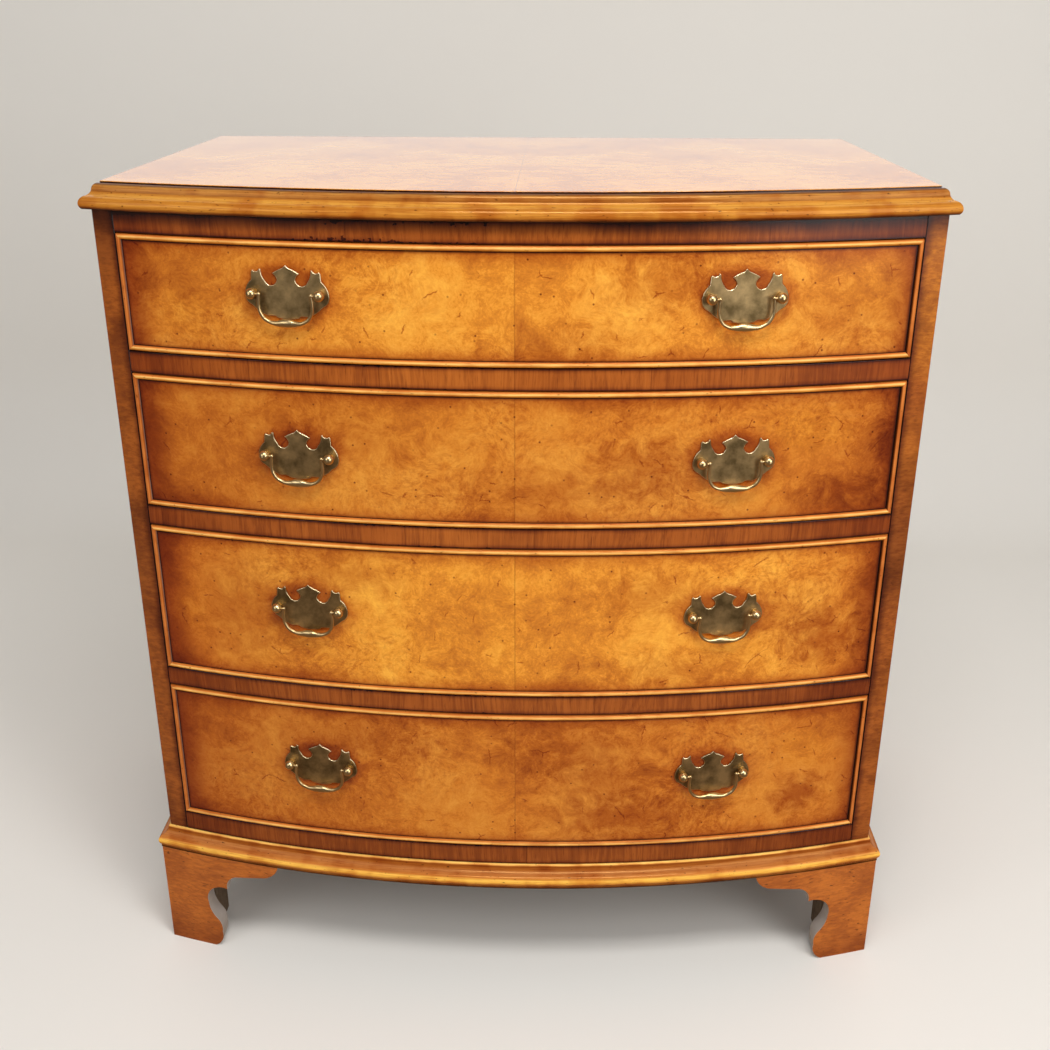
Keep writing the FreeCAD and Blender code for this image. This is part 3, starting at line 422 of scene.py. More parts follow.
def burr_figure(tree, sheet, leaf, wild=1.0):
    """The figure of burr walnut on a flat sheet: cloud, mottle, fuzz, pin knots and hair cracks. The
    sheet's first two axes lie in it, and the third is how deep in the burr it was cut. Wild is how
    strong its flecks, knots and cracks are."""
    finish = setting("walnut")
    # Swirls about 45 mm across carry everything finer with them.
    swirl = add(tree, "TexNoise", sheet, 22.0, 2.0)
    swirled = add(tree, "VectorMath.MULTIPLY_ADD", swirl.outputs["Color"], (0.03,) * 3, sheet)
    clouds = add(tree, "TexNoise", swirled, 10.0, 3.0, 0.55)
    mottle = add(tree, "TexNoise", {"Vector": swirled, "Scale": 58.0, "Detail": 6.0, "Roughness": 0.72,
                                    "Distortion": 0.3})
    # Fuzz of short curled fibres, 2 to 4 mm long.
    fuzz = add(tree, "TexNoise", swirled, 420.0, 3.0, 0.75)
    figure = add(tree, "Mix", 0.5, clouds, mottle)
    figure = add(tree, "Mix", 0.22, figure, fuzz)
    ground = add(tree, "MapRange", figure, 0.36, 0.50)
    low = glazed(tree, finish.burr_dark, ground, finish.burr_mid, "MIX")
    high = add(tree, "MapRange", figure, 0.48, 0.62)
    wood = glazed(tree, low, high, finish.burr_light, "MIX")
    # Brown haze in flecks of 2 to 7 mm, gathered in drifts.
    drift = add(tree, "TexNoise", leaf, 8.0, 2.0)
    drift = add(tree, "MapRange", drift, 0.42, 0.62, 0.15, 1.0)
    fleck = add(tree, "TexNoise", swirled, 190.0, 4.0, 0.75)
    fleck = add(tree, "MapRange", fleck, 0.45, 0.66, 0.0, 0.6 * wild)
    fleck = add(tree, "Math.MULTIPLY", fleck, drift)
    wood = glazed(tree, wood, fleck, "C08862")
    # Pin knots: dark eyes 1 to 2 mm wide, in a few of the 11 mm cells.
    knots = add(tree, "TexVoronoi", leaf, 90.0, voronoi_dimensions="2D")
    chosen = add(tree, "SeparateColor", knots.outputs["Color"])
    chosen = add(tree, "MapRange", chosen, 0.84, 0.97)
    eye = fade(tree, knots.outputs["Distance"], 0.035, 0.12, 0.95 * wild)
    eye = add(tree, "Math.MULTIPLY", eye, chosen)
    wood = glazed(tree, wood, eye, "895D6C")
    # Hair cracks, 10 to 20 mm long, where the burr has opened.
    bent = add(tree, "VectorMath.MULTIPLY_ADD", mottle.outputs["Color"], (0.012,) * 3, leaf)
    cells = add(tree, "TexVoronoi", bent, 31.0, feature="DISTANCE_TO_EDGE", voronoi_dimensions="2D")
    crack = fade(tree, cells, 0.005, 0.026, 0.85 * wild, "LINEAR")
    rare = add(tree, "TexNoise", leaf, 60.0, 0.0)
    rare = add(tree, "MapRange", rare, 0.66, 0.72)
    crack = add(tree, "Math.MULTIPLY", crack, rare)
    wood = glazed(tree, wood, crack, "B4785C")
    return wood, clouds, mottle


def burr_drawer(name, count, half, bottom, top):
    """Burr walnut veneer, sliced from a burr, laid as two matched leaves and French polished with a brown
    toner. It gives honey-gold clouds with pin knots and hair cracks, shaded to the edges, with painted shade
    at the ends, along the beads and round the handle plates."""
    polish, level, seed = DRAWERS[count]
    finish = setting("walnut")
    material, tree, _, (across, _, up) = new_finish(name)
    mirrored = add(tree, "Math.ABSOLUTE", across)
    right_half = add(tree, "Math.GREATER_THAN", across, 0.0)
    # The two leaves are neighbours in the stack, so the figure has drifted a little between them.
    depth = add(tree, "Math.MULTIPLY_ADD", right_half, 0.011, seed)
    sheet = add(tree, "CombineXYZ", mirrored, up, depth)
    leaf = add(tree, "CombineXYZ", across, up, seed)
    wood, clouds, mottle = burr_figure(tree, sheet, leaf)
    wood = glazed(tree, wood, 1.0, polish)
    wood = glazed(tree, wood, right_half, (0.98, 0.96, 0.97))

    def away_from(side, x, z, wide, high):
        """How far a point is from a spot, where an ellipse of a width and height round it is at 1."""
        side = add(tree, "Math.MULTIPLY", add(tree, "Math.SUBTRACT", side, x), 1 / wide)
        height = add(tree, "Math.MULTIPLY", add(tree, "Math.SUBTRACT", up, z), 1 / high)
        return add(tree, "VectorMath.LENGTH", add(tree, "CombineXYZ", side, height)).outputs["Value"]

    middle = (bottom + top) / 2
    clouded = [(away_from(across, x, middle + z, wide, high), 0.1, 1.35, abs(strength),
                BROWN_CLOUD if strength > 0 else GOLD_PATCH, mottle, 2.2)
               for x, z, wide, high, strength in CLOUDS[count]]
    left, right = HAZE[count]
    leftmost, rightmost = add(tree, "Math.ADD", across, half), add(tree, "Math.SUBTRACT", half, across)
    ends, levels = from_edge(tree, across, -half, half), from_edge(tree, up, bottom, top)
    nearest = add(tree, "Math.MINIMUM", ends, levels)
    plate = away_from(mirrored, setting("shape").handle_place, level, 0.040, 0.027)
    plate = loosened(tree, plate, mottle, 0.35)
    wood = layered(
        tree, wood, (mirrored, 0.0002, 0.0009, 0.3, "7A4326"), *clouded,
        # The toner: a wide warm haze at the ends, with painted shade deepest at the left end, a darker edge,
        # and a line of grime and painted shade at the beads.
        (leftmost, 0.0, 0.26, left, finish.toner, clouds, 0.12),
        (rightmost, 0.0, 0.15, right, finish.toner, clouds, 0.12),
        (ends, 0.0, 0.030, 0.7, "B47A66", clouds, 0.03),
        (leftmost, 0.0, 0.040, 0.6, "C08478", clouds, 0.02),
        (levels, -0.002, 0.016, 0.7, "C08C70", clouds, 0.02),
        (nearest, 0.0006, 0.0036, 0.6, "8A5040"),
        (nearest, 0.0003, 0.0014, 0.9, "402218"),
        # The right end is in deeper shade, so painted shade, with grime, reaches further in there.
        (rightmost, 0.001, 0.009, 0.42, "A86A58", clouds, 0.006),
        (rightmost, 0.0010, 0.0034, 0.45, "5A3020"),
        # Painted shadow round the handle plates, with wax and tarnish where cloths could not reach.
        (plate, 0.75, 1.40, 0.75, "C8906C"),
        (plate, 0.7, 1.02, 0.5, "A87858"))
    return french_polished(material, wood, mottle)


def burr_top(name, rim):
    """Burr walnut veneer under a bright French polish. It gives a gold figure that pales where the
    top mirrors the room, and a line of grime round its rim."""
    material, tree, _, (across, back, up) = new_finish(name)
    mirrored = add(tree, "Math.ABSOLUTE", across)
    sheet = add(tree, "CombineXYZ", mirrored, back, 3.3)
    wood, _, mottle = burr_figure(tree, sheet, sheet, 0.4)
    behind = add(tree, "Math.GREATER_THAN", back, setting("shape").back - 0.001)
    edge = glazed(tree, "3A1E12", behind, "B08A66", "MIX")
    wood = layered(tree, wood, (mirrored, 0.0002, 0.0008, 0.3, "7A4326"),
                   (up, rim - 0.0006, rim - 0.0002, 1.0, edge))
    return french_polished(material, wood, mottle, 0.12)


def plain_figure(tree, source, run):
    """The figure of straight walnut in a space where one unit along the run is one metre, and the
    other two axes are across the grain."""
    finish = setting("walnut")
    # Streaks are 2 to 4 mm wide and about 25 times as long.
    stretch = tuple(1.0 if axis == run else 25.0 for axis in "XYZ")
    long = add(tree, "VectorMath.MULTIPLY", source, stretch)
    wander = add(tree, "TexNoise", source, 9.0, 1.0)
    bent = add(tree, "VectorMath.MULTIPLY_ADD", wander.outputs["Color"], (0.4,) * 3, long)
    streak = add(tree, "TexNoise", bent, 13.0, 5.0, 0.68)
    cloud = add(tree, "TexNoise", source, 24.0, 2.0)
    figure = add(tree, "Mix", 0.35, streak, cloud)
    ground = add(tree, "MapRange", figure, 0.32, 0.54)
    low = glazed(tree, finish.plain_dark, ground, finish.plain_mid, "MIX")
    high = add(tree, "MapRange", figure, 0.48, 0.66)
    wood = glazed(tree, low, high, finish.plain_light, "MIX")
    # Pores are dashes 0.3 mm wide, drawn at 0.7 mm so that they show.
    fine = tuple(70.0 if axis == run else 800.0 for axis in "XYZ")
    dashes = add(tree, "VectorMath.MULTIPLY", source, fine)
    pores = add(tree, "TexNoise", dashes, 1.0, 1.0)
    pore = add(tree, "MapRange", pores, 0.62, 0.74, 0.0, 0.32)
    return glazed(tree, wood, pore, "7A4A32"), cloud, pore


def rail_walnut(name, tone, chipped, half, bottom, top, under_top):
    """Walnut veneer laid across the rail in short leaves, so that its grain stands upright, and French
    polished. It gives fine upright streaks, a joint now and then, and edges darkened by grime and painted
    shade, with a painted shadow under the top moulding on the top rail."""
    material, tree, place_in, (across, _, up) = new_finish(name)
    wood, cloud, pore = plain_figure(tree, place_in, "Z")
    spaced = add(tree, "Math.MULTIPLY_ADD", across, 1 / RAIL_LEAF, 5 * tone)
    leaf = add(tree, "Math.FLOOR", spaced)
    chance = add(tree, "TexWhiteNoise", leaf, noise_dimensions="1D")
    shade = add(tree, "MapRange", {"Value": chance.outputs["Value"], "To Min": 0.0, "To Max": 0.3})
    wood = glazed(tree, wood, shade, "C49A82")
    joint = from_edge(tree, add(tree, "Math.FRACT", spaced), 0.0, 1.0)
    wood = layered(tree, wood, (joint, 0.002, 0.007, 0.4, "8A5038"))
    wood = glazed(tree, wood, 1.0, (tone, tone ** 1.3, tone ** 1.2))
    ends, levels = from_edge(tree, across, -half, half), from_edge(tree, up, bottom, top)
    below = add(tree, "Math.SUBTRACT", top, up)
    # On the top rail, a painted shadow with grime under the top moulding.
    shade = [(below, 0.001, 0.015, 0.9, "5A3020", cloud, 0.006)] if under_top else []
    wood = layered(
        tree, wood,
        (ends, 0.0, 0.15, 0.7, "B88474", cloud, 0.10),
        # Grime and painted shade along the edges next to the drawers.
        (levels, 0.0, 0.0055, 0.75, "985C48", cloud, 0.004),
        (levels, 0.0006, 0.0022, 0.7, "5A3022"), *shade)
    # Chips along the arris, where a drawer has caught it. They are worst in the left half.
    nibble = add(tree, "TexNoise", place_in, 240.0, 1.0)
    deep = add(tree, "MapRange", nibble, 0.48, 0.8, 0.0, 0.007)
    apart = add(tree, "Math.ABSOLUTE", add(tree, "Math.ADD", across, 0.10))
    deep = add(tree, "Math.MULTIPLY", deep, fade(tree, apart, 0.06, 0.11, chipped))
    wood = glazed(tree, wood, add(tree, "Math.LESS_THAN", levels, deep), "8A6A58")
    return french_polished(material, wood, pore, 0.26)


def stile_walnut(name, tone, bands):
    """Walnut veneer laid across the stiles and French polished. It gives level streaks, a dark line where the
    stile meets the drawers, and painted shade beside the drawers and under the top moulding."""
    material, tree, place_in, (across, _, up) = new_finish(name)
    wood, cloud, pore = plain_figure(tree, place_in, "X")
    wood = glazed(tree, wood, 1.0, tone)
    # Old polish has gathered in brown patches 30 to 60 mm long.
    patches = add(tree, "TexNoise", place_in, 17.0, 4.0, 0.6)
    rows = [(patches, 0.60, 0.44, 0.42, "8E6A4C")]
    for height, reach, strength in bands:
        apart = add(tree, "Math.SUBTRACT", loosened(tree, up, cloud, 0.05), height)
        tint = BROWN_BAND if strength > 0 else GOLD_BAND
        rows.append((add(tree, "Math.ABSOLUTE", apart), 0.2 * reach, reach, abs(strength), tint))
    away = add(tree, "Math.ABSOLUTE", across)
    wood = layered(
        tree, wood, *rows,
        # Painted shade beside the drawers and under the top moulding, and darker just above the base
        # moulding.
        (away, 0.350, 0.358, 0.8, "8A5040", cloud, 0.008),
        (away, 0.3504, 0.3514, 0.9, "40241A"),
        (up, 0.786, 0.755, 0.8, "704030", cloud, 0.03),
        (up, 0.142, 0.175, 0.6, "8A5040", cloud, 0.03))
    return french_polished(material, wood, pore, 0.26)


def side_walnut(name):
    """Sliced walnut veneer with its grain upright, French polished. It gives soft upright bands."""
    material, tree, place_in, (_, back, _) = new_finish(name)
    wood, cloud, pore = plain_figure(tree, place_in, "Z")
    ends = from_edge(tree, back, -0.176, 0.244)
    wood = layered(tree, wood, (ends, 0.0, 0.03, 0.6, "9A6450", cloud, 0.03))
    return french_polished(material, wood, pore)


def foot_walnut(name):
    """Solid walnut, sawn to the bracket's scroll and polished on its face only. It gives level grain
    on the face, and a dusty grey edge where the saw cut."""
    material, tree, place_in, (across, _, up) = new_finish(name)
    wood, cloud, pore = plain_figure(tree, place_in, "X")
    wood = glazed(tree, wood, 1.0, (1.25, 1.3, 1.4))
    wood = layered(tree, wood, (up, 0.0, 0.04, 0.5, "A06A55", cloud, 0.03))
    # Specks 1 to 3 mm long where the grain was torn.
    torn = add(tree, "VectorMath.MULTIPLY", place_in, (170.0, 170.0, 700.0))
    torn = add(tree, "TexNoise", torn, 1.0, 0.0)
    torn = add(tree, "MapRange", torn, 0.76, 0.81, 0.0, 0.75)
    wood = glazed(tree, wood, torn, "4A2A1C")
    facing, _, _ = add(tree, "SeparateXYZ", add(tree, "NewGeometry").outputs["True Normal"]).outputs
    inwards = add(tree, "Math.MULTIPLY", facing, add(tree, "Math.SIGN", across))
    dust_and_sheen = glazed(tree, "8E8178", cloud, "C3B9B0", "MIX")
    wood = glazed(tree, wood, fade(tree, inwards, -0.45, -0.25), dust_and_sheen, "MIX")
    return french_polished(material, wood, pore, 0.3)


def run_walnut(name, stops, axis, low=0.0, high=1.0, specks=0.6):
    """Solid walnut run to a moulding with its grain along it, and French polished. Hands and dusters have
    worn its nose golden and left dark polish in its hollows and on its underside, and its stops also carry
    painted highlights on the nose and crest and painted shade on the underside and in the hollows. Stops are
    the colours from the bottom of a profile to its top, or round a bead."""
    material, tree, _, (across, _, up) = new_finish(name)
    along, out, _ = add(tree, "SeparateXYZ", add(tree, "TexCoord").outputs["UV"]).outputs
    source = add(tree, "CombineXYZ", along, out, across if axis == "upright" else up)
    facing, _, facing_up = add(tree, "SeparateXYZ", add(tree, "NewGeometry").outputs["Normal"]).outputs
    # Level beads take their stops by how far each point faces up, which paints their upper side lit and their
    # underside in shade.
    at = {"height": up, "level": facing_up}.get(axis, out)
    worn = add(tree, "TexNoise", source, 26.0, 3.0, 0.6)
    part = loosened(tree, add(tree, "MapRange", at, low, high), worn, 0.10)
    wood = add(tree, "ValToRGB", part, stops=stops)
    if axis == "upright":
        # Painted shade along the inner half of the right-hand beads, and a painted grey sheen along the inner
        # half of the left ones.
        right_bead_shade = fade(tree, facing, -0.60, -0.05, 0.9)
        right_bead_shade = add(tree, "Math.MULTIPLY", right_bead_shade, add(tree, "Math.GREATER_THAN", across, 0.0))
        wood = glazed(tree, wood, right_bead_shade, "6A3C28")
        dust_and_sheen = fade(tree, facing, 0.85, 0.45, 0.6)
        dust_and_sheen = add(tree, "Math.MULTIPLY", dust_and_sheen, add(tree, "Math.LESS_THAN", across, 0.0))
        wood = glazed(tree, wood, dust_and_sheen, "9A7468", "MIX")
    # Streaks along the run, 1 mm wide.
    long = add(tree, "VectorMath.MULTIPLY", source, (26.0, 900.0, 900.0))
    streak = add(tree, "TexNoise", long, 1.0, 3.0, 0.65)
    wood = glazed(tree, wood, fade(tree, streak, 0.30, 0.56, 0.5, "LINEAR"), "A8683C")
    wood = layered(tree, wood, (worn, 0.34, 0.58, 0.75 * specks, "C88C5A"))
    # Dents full of dark wax, 1 to 4 mm long.
    dent = add(tree, "VectorMath.MULTIPLY", source, (230.0, 600.0, 600.0))
    dent = add(tree, "TexNoise", dent, 1.0, 1.0)
    dent = add(tree, "MapRange", dent, 0.70, 0.76, 0.0, specks)
    wood = glazed(tree, wood, dent, "5A3520")
    relief = add(tree, "Math.MULTIPLY_ADD", dent, -1.0, streak)
    return french_polished(material, wood, relief, 0.15, "F2C07A")


def bare_timber(name, grain, light, dark, roughness=0.7):
    """Planed timber without a finish: matt, with straight streaks."""
    material, tree = new_material(name)
    source = add(tree, "TexCoord").outputs["Object"]
    stretch = {axis: (1.0 if axis == grain else 30.0) for axis in "XYZ"}
    run = add(tree, "VectorMath.MULTIPLY", source, tuple(stretch[axis] for axis in "XYZ"))
    streak = add(tree, "TexNoise", run, 7.0, 5.0, 0.65)
    wood = add(tree, "ValToRGB", streak, stops=((0.3, dark), (0.7, light)))
    bump = add(tree, "Bump", {"Strength": 0.4, "Distance": 0.0002, "Height": streak})
    return finished(material, {"Base Color": wood, "Roughness": roughness, "Normal": bump})


# ---- metal ---------------------------------------------------------------------------------------

def cast_brass(name, low, high, roughness):
    """Cast brass, toned dark and lacquered, then rubbed. It gives a cloudy olive brown that warms
    to gold where hands and cloths reach."""
    material, tree = new_material(name)
    source = add(tree, "TexCoord").outputs["Object"]
    cloud = add(tree, "TexNoise", source, 50.0, 4.0, 0.6)
    cloud = add(tree, "MapRange", cloud, 0.36, 0.66)
    tone = glazed(tree, low, cloud, high, "MIX")
    grit = add(tree, "TexNoise", source, 500.0, 2.0)
    bump = add(tree, "Bump", {"Strength": 0.2, "Distance": 0.0001, "Height": grit})
    return finished(material, {"Base Color": tone, "Metallic": 1.0, "Roughness": roughness, "Normal": bump})


def zinc_plate(name):
    """Bright zinc plate on steel, gone dull. It gives a grey metal with faint blue blotches."""
    material, tree = new_material(name)
    source = add(tree, "TexCoord").outputs["Object"]
    cloud = add(tree, "TexNoise", source, 400.0, 2.0)
    tone = add(tree, "ValToRGB", cloud, stops=((0.35, "8C8B86"), (0.65, "B4B8BA")))
    return finished(material, {"Base Color": tone, "Metallic": 1.0, "Roughness": 0.38})


# ---- runs of moulding ----------------------------------------------------------------------------

# How far the mouldings stand out of the carcass, how far the top's goes under the top board, and how
# deep the base frame is behind the carcass's face.
TOP_REACH, BASE_REACH, TOP_INSET, BASE_DEPTH = 0.0089, 0.0121, 0.0081, 0.045

# How many points a run along the bow has.
BOW_STEPS = 96

# Each corner: share of the moulding's whole projection, share of its height, bulge of the arc to it.
TOP_PROFILE = [(0.0, 0.0), (0.86, 0.0), (1.0, 0.20, 0.12), (0.66, 0.49, 0.184), (0.38, 0.70, -0.14),
               (0.13, 0.925, 0.175), (0.0, 0.925)]
BASE_PROFILE = [(0.82, 0.0), (0.82, 0.13), (0.86, 0.15), (1.0, 0.36, 0.08), (0.60, 0.62, 0.172),
                (0.16, 0.90, -0.17), (0.16, 0.93), (0.08, 1.0, 0.13)]
# Colours up each profile, from its bottom to its top. With the wood's wear they paint light and shade: dark
# on the undersides and in the hollows, bright bands on the noses, and on the base a bright line along its top
# bead.
TOP_PAINTED_LIGHT_COLOURS = ((0.02, "3A1E0E"), (0.08, "8A4C1C"), (0.16, "C07A2A"), (0.30, "C88634"), (0.44, "B87426"),
               (0.55, "D2953A"), (0.66, "C48232"), (0.71, "94581F"), (0.80, "B0702E"), (0.93, "B47A38"),
               (0.97, "6A4222"))
BASE_PAINTED_LIGHT_COLOURS = ((0.03, "4A280F"), (0.12, "9A5A24"), (0.24, "D08434"), (0.36, "FFC050"), (0.46, "FFC458"),
                (0.54, "C87830"), (0.66, "BE7840"), (0.76, "A85E22"), (0.90, "96501A"), (0.94, "D2823A"),
                (0.985, "FFC868"))
# From a bead's underside, past its crest, to its upper side: painted shade underneath and a painted highlight
# just above the crest.
BEAD_PAINTED_LIGHT_COLOURS = ((0.03, "542608"), (0.15, "B06A1A"), (0.28, "CE822C"), (0.42, "E6A04A"), (0.60, "FCCA74"),
                (0.85, "DE8236"), (1.0, "B8682A"))
# From deep in the drawer front, past an upright bead's foot, to its crest. The near-black at the foot is
# painted shade with grime.
UPRIGHT_PAINTED_SHADE_COLOURS = ((0.0, "8A4A20"), (0.48, "7A3E1A"), (0.575, "241208"), (0.64, "4A2410"), (0.72, "7E431C"),
                   (0.84, "A45C26"), (0.98, "CE7838"))


def new_tree(name, **kinds):
    """An empty Geometry Nodes tree and what is given to it, which is listed by kind of socket."""
    tree = bpy.data.node_groups.new(name, "GeometryNodeTree")
    for way in ("INPUT", "OUTPUT"):
        tree.interface.new_socket("Geometry", in_out=way, socket_type="NodeSocketGeometry")
    for kind, names in {**kinds, "Material": ("Material",)}.items():
        for each in names:
            tree.interface.new_socket(each, in_out="INPUT", socket_type="NodeSocket" + kind)
    return tree, add(tree, "GroupInput").outputs


def captured(tree, geometry, kind, name, value):
    """A node that keeps a value of each point of a geometry for later."""
    made = add(tree, "CaptureAttribute", geometry)
    made.capture_items.new(kind, name)
    tree.links.new(value, made.inputs[1])
    return made


def ended(tree, geometry, given):
    """The tree with its end put on, which makes the geometry real and gives it its material."""
    real = add(tree, "RealizeInstances", geometry)
    dressed = add(tree, "SetMaterial", {"Geometry": real, "Material": given["Material"]})
    add(tree, "GroupOutput", dressed)
    return tree


def moulding_tree():
    """A profile run between two mitres, either along the bow or straight back along a side. The
    modifier's own object is the profile: x is how far out a point is, y how high."""
    tree, given = new_tree("Moulding run", Bool=("Along the side",), Int=("Steps",), Float=(
        "Bow radius", "Bow centre", "Half width", "Mitre by offset", "Mitre by height", "Back", "Corner",
        "Mitre slope"))
    profile = add(tree, "MeshToCurve", given["Geometry"])
    spot = captured(tree, profile, "VECTOR", "spot", add(tree, "InputPosition").outputs[0])
    way = add(tree, "CurvePrimitiveLine", (-1, 0, 0), (1, 0, 0))
    way = add(tree, "ResampleCurve", {"Curve": way, "Count": given["Steps"]})
    part = captured(tree, way, "FLOAT", "part", add(tree, "SplineParameter").outputs["Factor"])
    swept = add(tree, "CurveToMesh", {"Curve": part, "Profile Curve": spot, "Fill Caps": True})
    offset, height, _ = add(tree, "SeparateXYZ", spot.outputs["spot"]).outputs
    # Along the bow, each point turns about the bow's centre, up to its own end at the mitre.
    radius = add(tree, "Math.ADD", given["Bow radius"], offset)
    end = add(tree, "Math.MULTIPLY_ADD", given["Mitre by offset"], offset, given["Half width"])
    end = add(tree, "Math.MULTIPLY_ADD", given["Mitre by height"], height, end)
    widest = add(tree, "Math.ARCSINE", add(tree, "Math.DIVIDE", end, radius))
    share = add(tree, "Math.MULTIPLY_ADD", part.outputs["part"], 2.0, -1.0)
    angle = add(tree, "Math.MULTIPLY", share, widest)
    x = add(tree, "Math.MULTIPLY", radius, add(tree, "Math.SINE", angle))
    y = add(tree, "Math.MULTIPLY", radius, add(tree, "Math.COSINE", angle))
    y = add(tree, "Math.SUBTRACT", given["Bow centre"], y)
    bowed = add(tree, "CombineXYZ", x, y, height)
    bow_length = add(tree, "Math.MULTIPLY", angle, given["Bow radius"])
    # Along the side, each point runs from the back to the mitre.
    x = add(tree, "Math.ADD", given["Half width"], offset)
    front = add(tree, "Math.MULTIPLY", given["Mitre slope"], offset)
    front = add(tree, "Math.SUBTRACT", given["Corner"], front)
    y = add(tree, "Mix", part.outputs["part"], given["Back"], front)
    straight = add(tree, "CombineXYZ", x, y, height)
    spot_on = add(tree, "Switch", given["Along the side"], bowed, straight, input_type="VECTOR")
    placed = add(tree, "SetPosition", {"Geometry": swept, "Position": spot_on})
    run = add(tree, "Switch", given["Along the side"], bow_length, y, input_type="FLOAT")
    # The chart is the length along the run and how far out the point is.
    chart = add(tree, "CombineXYZ", run, offset)
    charted = add(tree, "StoreNamedAttribute", {"Geometry": placed, "Name": "UVMap", "Value": chart},
                  data_type="FLOAT2", domain="CORNER")
    return ended(tree, charted, given)


def grown(name, seed, tree, values):
    """The plain mesh that a node tree makes from a seed mesh."""
    host = new_object(name, seed)
    modifier = host.modifiers.new("Tree", "NODES")
    modifier.node_group = tree
    named = {item.name: item.identifier for item in tree.interface.items_tree if item.in_out == "INPUT"}
    for key, value in values.items():
        modifier[named[key]] = value
    host.update_tag()
    mesh = bpy.data.meshes.new_from_object(host.evaluated_get(bpy.context.evaluated_depsgraph_get()))
    bpy.data.objects.remove(host)
    return mesh


def profile_mesh(corners, steps=8):
    points = outline(corners, steps)
    edges = [(index, (index + 1) % len(points)) for index in range(len(points))]
    return mesh_of("profile", [(x, y, 0) for x, y in points], edges=edges)


def run_moulding(name, corners, material, body, slot, nodes, side=None, mitre=(1.0, 0.0), half=None):
    """One run of moulding as a finished piece, along the front or along one side."""
    chest = setting("shape")
    tree = bpy.data.node_groups.get("Moulding run") or moulding_tree()
    rise = chest.bow_radius - math.sqrt(chest.bow_radius ** 2 - chest.half_width ** 2)
    slope = (chest.bow_radius - chest.half_width) / (chest.bow_radius - rise)
    mesh = grown(name, profile_mesh(corners), tree, {
        "Bow radius": chest.bow_radius, "Bow centre": chest.bow_centre, "Back": chest.back,
        "Half width": half or chest.half_width, "Mitre by offset": mitre[0], "Mitre by height": mitre[1],
        "Corner": chest.bow_centre - chest.bow_radius + rise, "Mitre slope": slope,
        "Steps": BOW_STEPS if side is None else 2, "Along the side": side is not None, "Material": material})
    if side == "left":
        mesh.transform(Matrix.Scale(-1, 4, (1, 0, 0)))
    outward(mesh)
    sharpened(mesh, 28)
    return place(new_object(name, mesh), body, slot, *nodes)


def shares(profile, reach, inset, height, level):
    """A profile's corners in metres, from its shares of a moulding's projection and height."""
    return [(share * (reach + inset) - inset, level + rise * height, *bulge)
            for share, rise, *bulge in profile]


class CHEST_OT_mouldings(bpy.types.Operator):
    """Run the top and base mouldings along the front and the sides"""
    bl_idname = "chest.mouldings"
    bl_label = "Mouldings"

    def execute(self, context):
        low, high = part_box("top_panel")
        top = shares(TOP_PROFILE, TOP_REACH, TOP_INSET, high.z - low.z, low.z)
        top_end = low.z + TOP_PROFILE[-1][1] * (high.z - low.z)
        low_base, high_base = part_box("base_moulding_front")
        base = shares(BASE_PROFILE, BASE_REACH, 0.0, high_base.z - low_base.z, low_base.z)
        base = [(-BASE_DEPTH, low_base.z), *base, (-BASE_DEPTH, high_base.z)]
        for kind, corners, stops, bottom, end in (("top", top, TOP_PAINTED_LIGHT_COLOURS, low.z, top_end),
                                                  ("base", base, BASE_PAINTED_LIGHT_COLOURS, low_base.z, high_base.z)):
            wood = run_walnut(f"run walnut, {kind} moulding", stops, "height", bottom, end, 0.8)
            for where in ("front", "left", "right"):
                run_moulding(f"{kind}_run_{where}", corners, wood, "carcass", "walnut",
                             [f"{kind}_moulding_{where}"], side=None if where == "front" else where)
        return {"FINISHED"}


# ---- carcass -------------------------------------------------------------------------------------

class CHEST_OT_top(bpy.types.Operator):
    """Lay the burr veneer on the top board"""
    bl_idname = "chest.top"
    bl_label = "Top"

    def execute(self, context):
        _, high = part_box("top_panel")
        veneer = burr_top("burr walnut veneer, top", high.z)
        eased("top_board", "top_panel", ROUNDS["top"], "burr_walnut", [veneer])
        return {"FINISHED"}


class CHEST_OT_carcass(bpy.types.Operator):
    """Veneer the sides, the stiles and the rails"""
    bl_idname = "chest.carcass"
    bl_label = "Sides, stiles and rails"

    def execute(self, context):
        side = side_walnut("sliced walnut, sides")
        for where in SIDES:
            eased(f"side_panel_{where}", f"side_{where}", ROUNDS["panel"], "walnut", [side])
            stile = stile_walnut(f"cross-laid walnut, {where} stile", *STILES[where])
            eased(f"front_stile_{where}", f"stile_{where}", ROUNDS["panel"], "walnut", [stile])
        for name, (tone, chipped) in RAILS.items():
            low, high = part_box(name)
            rail = rail_walnut(f"cross-laid walnut, {name.replace('_', ' ')}", tone, chipped, high.x, low.z,
                               high.z, name == "top_rail")
            eased(f"veneered_{name}", name, ROUNDS["rail"], "walnut", [rail])
        return {"FINISHED"}


class CHEST_OT_feet(bpy.types.Operator):
    """Finish the four bracket feet"""
    bl_idname = "chest.feet"
    bl_label = "Feet"

    def execute(self, context):
        wood = foot_walnut("bracket walnut, feet")
        for where in SIDES:
            eased(f"front_bracket_{where}", f"front_foot_{where}", ROUNDS["foot"], "walnut", [wood])
            paint(f"rear_foot_{where}", wood)
        return {"FINISHED"}


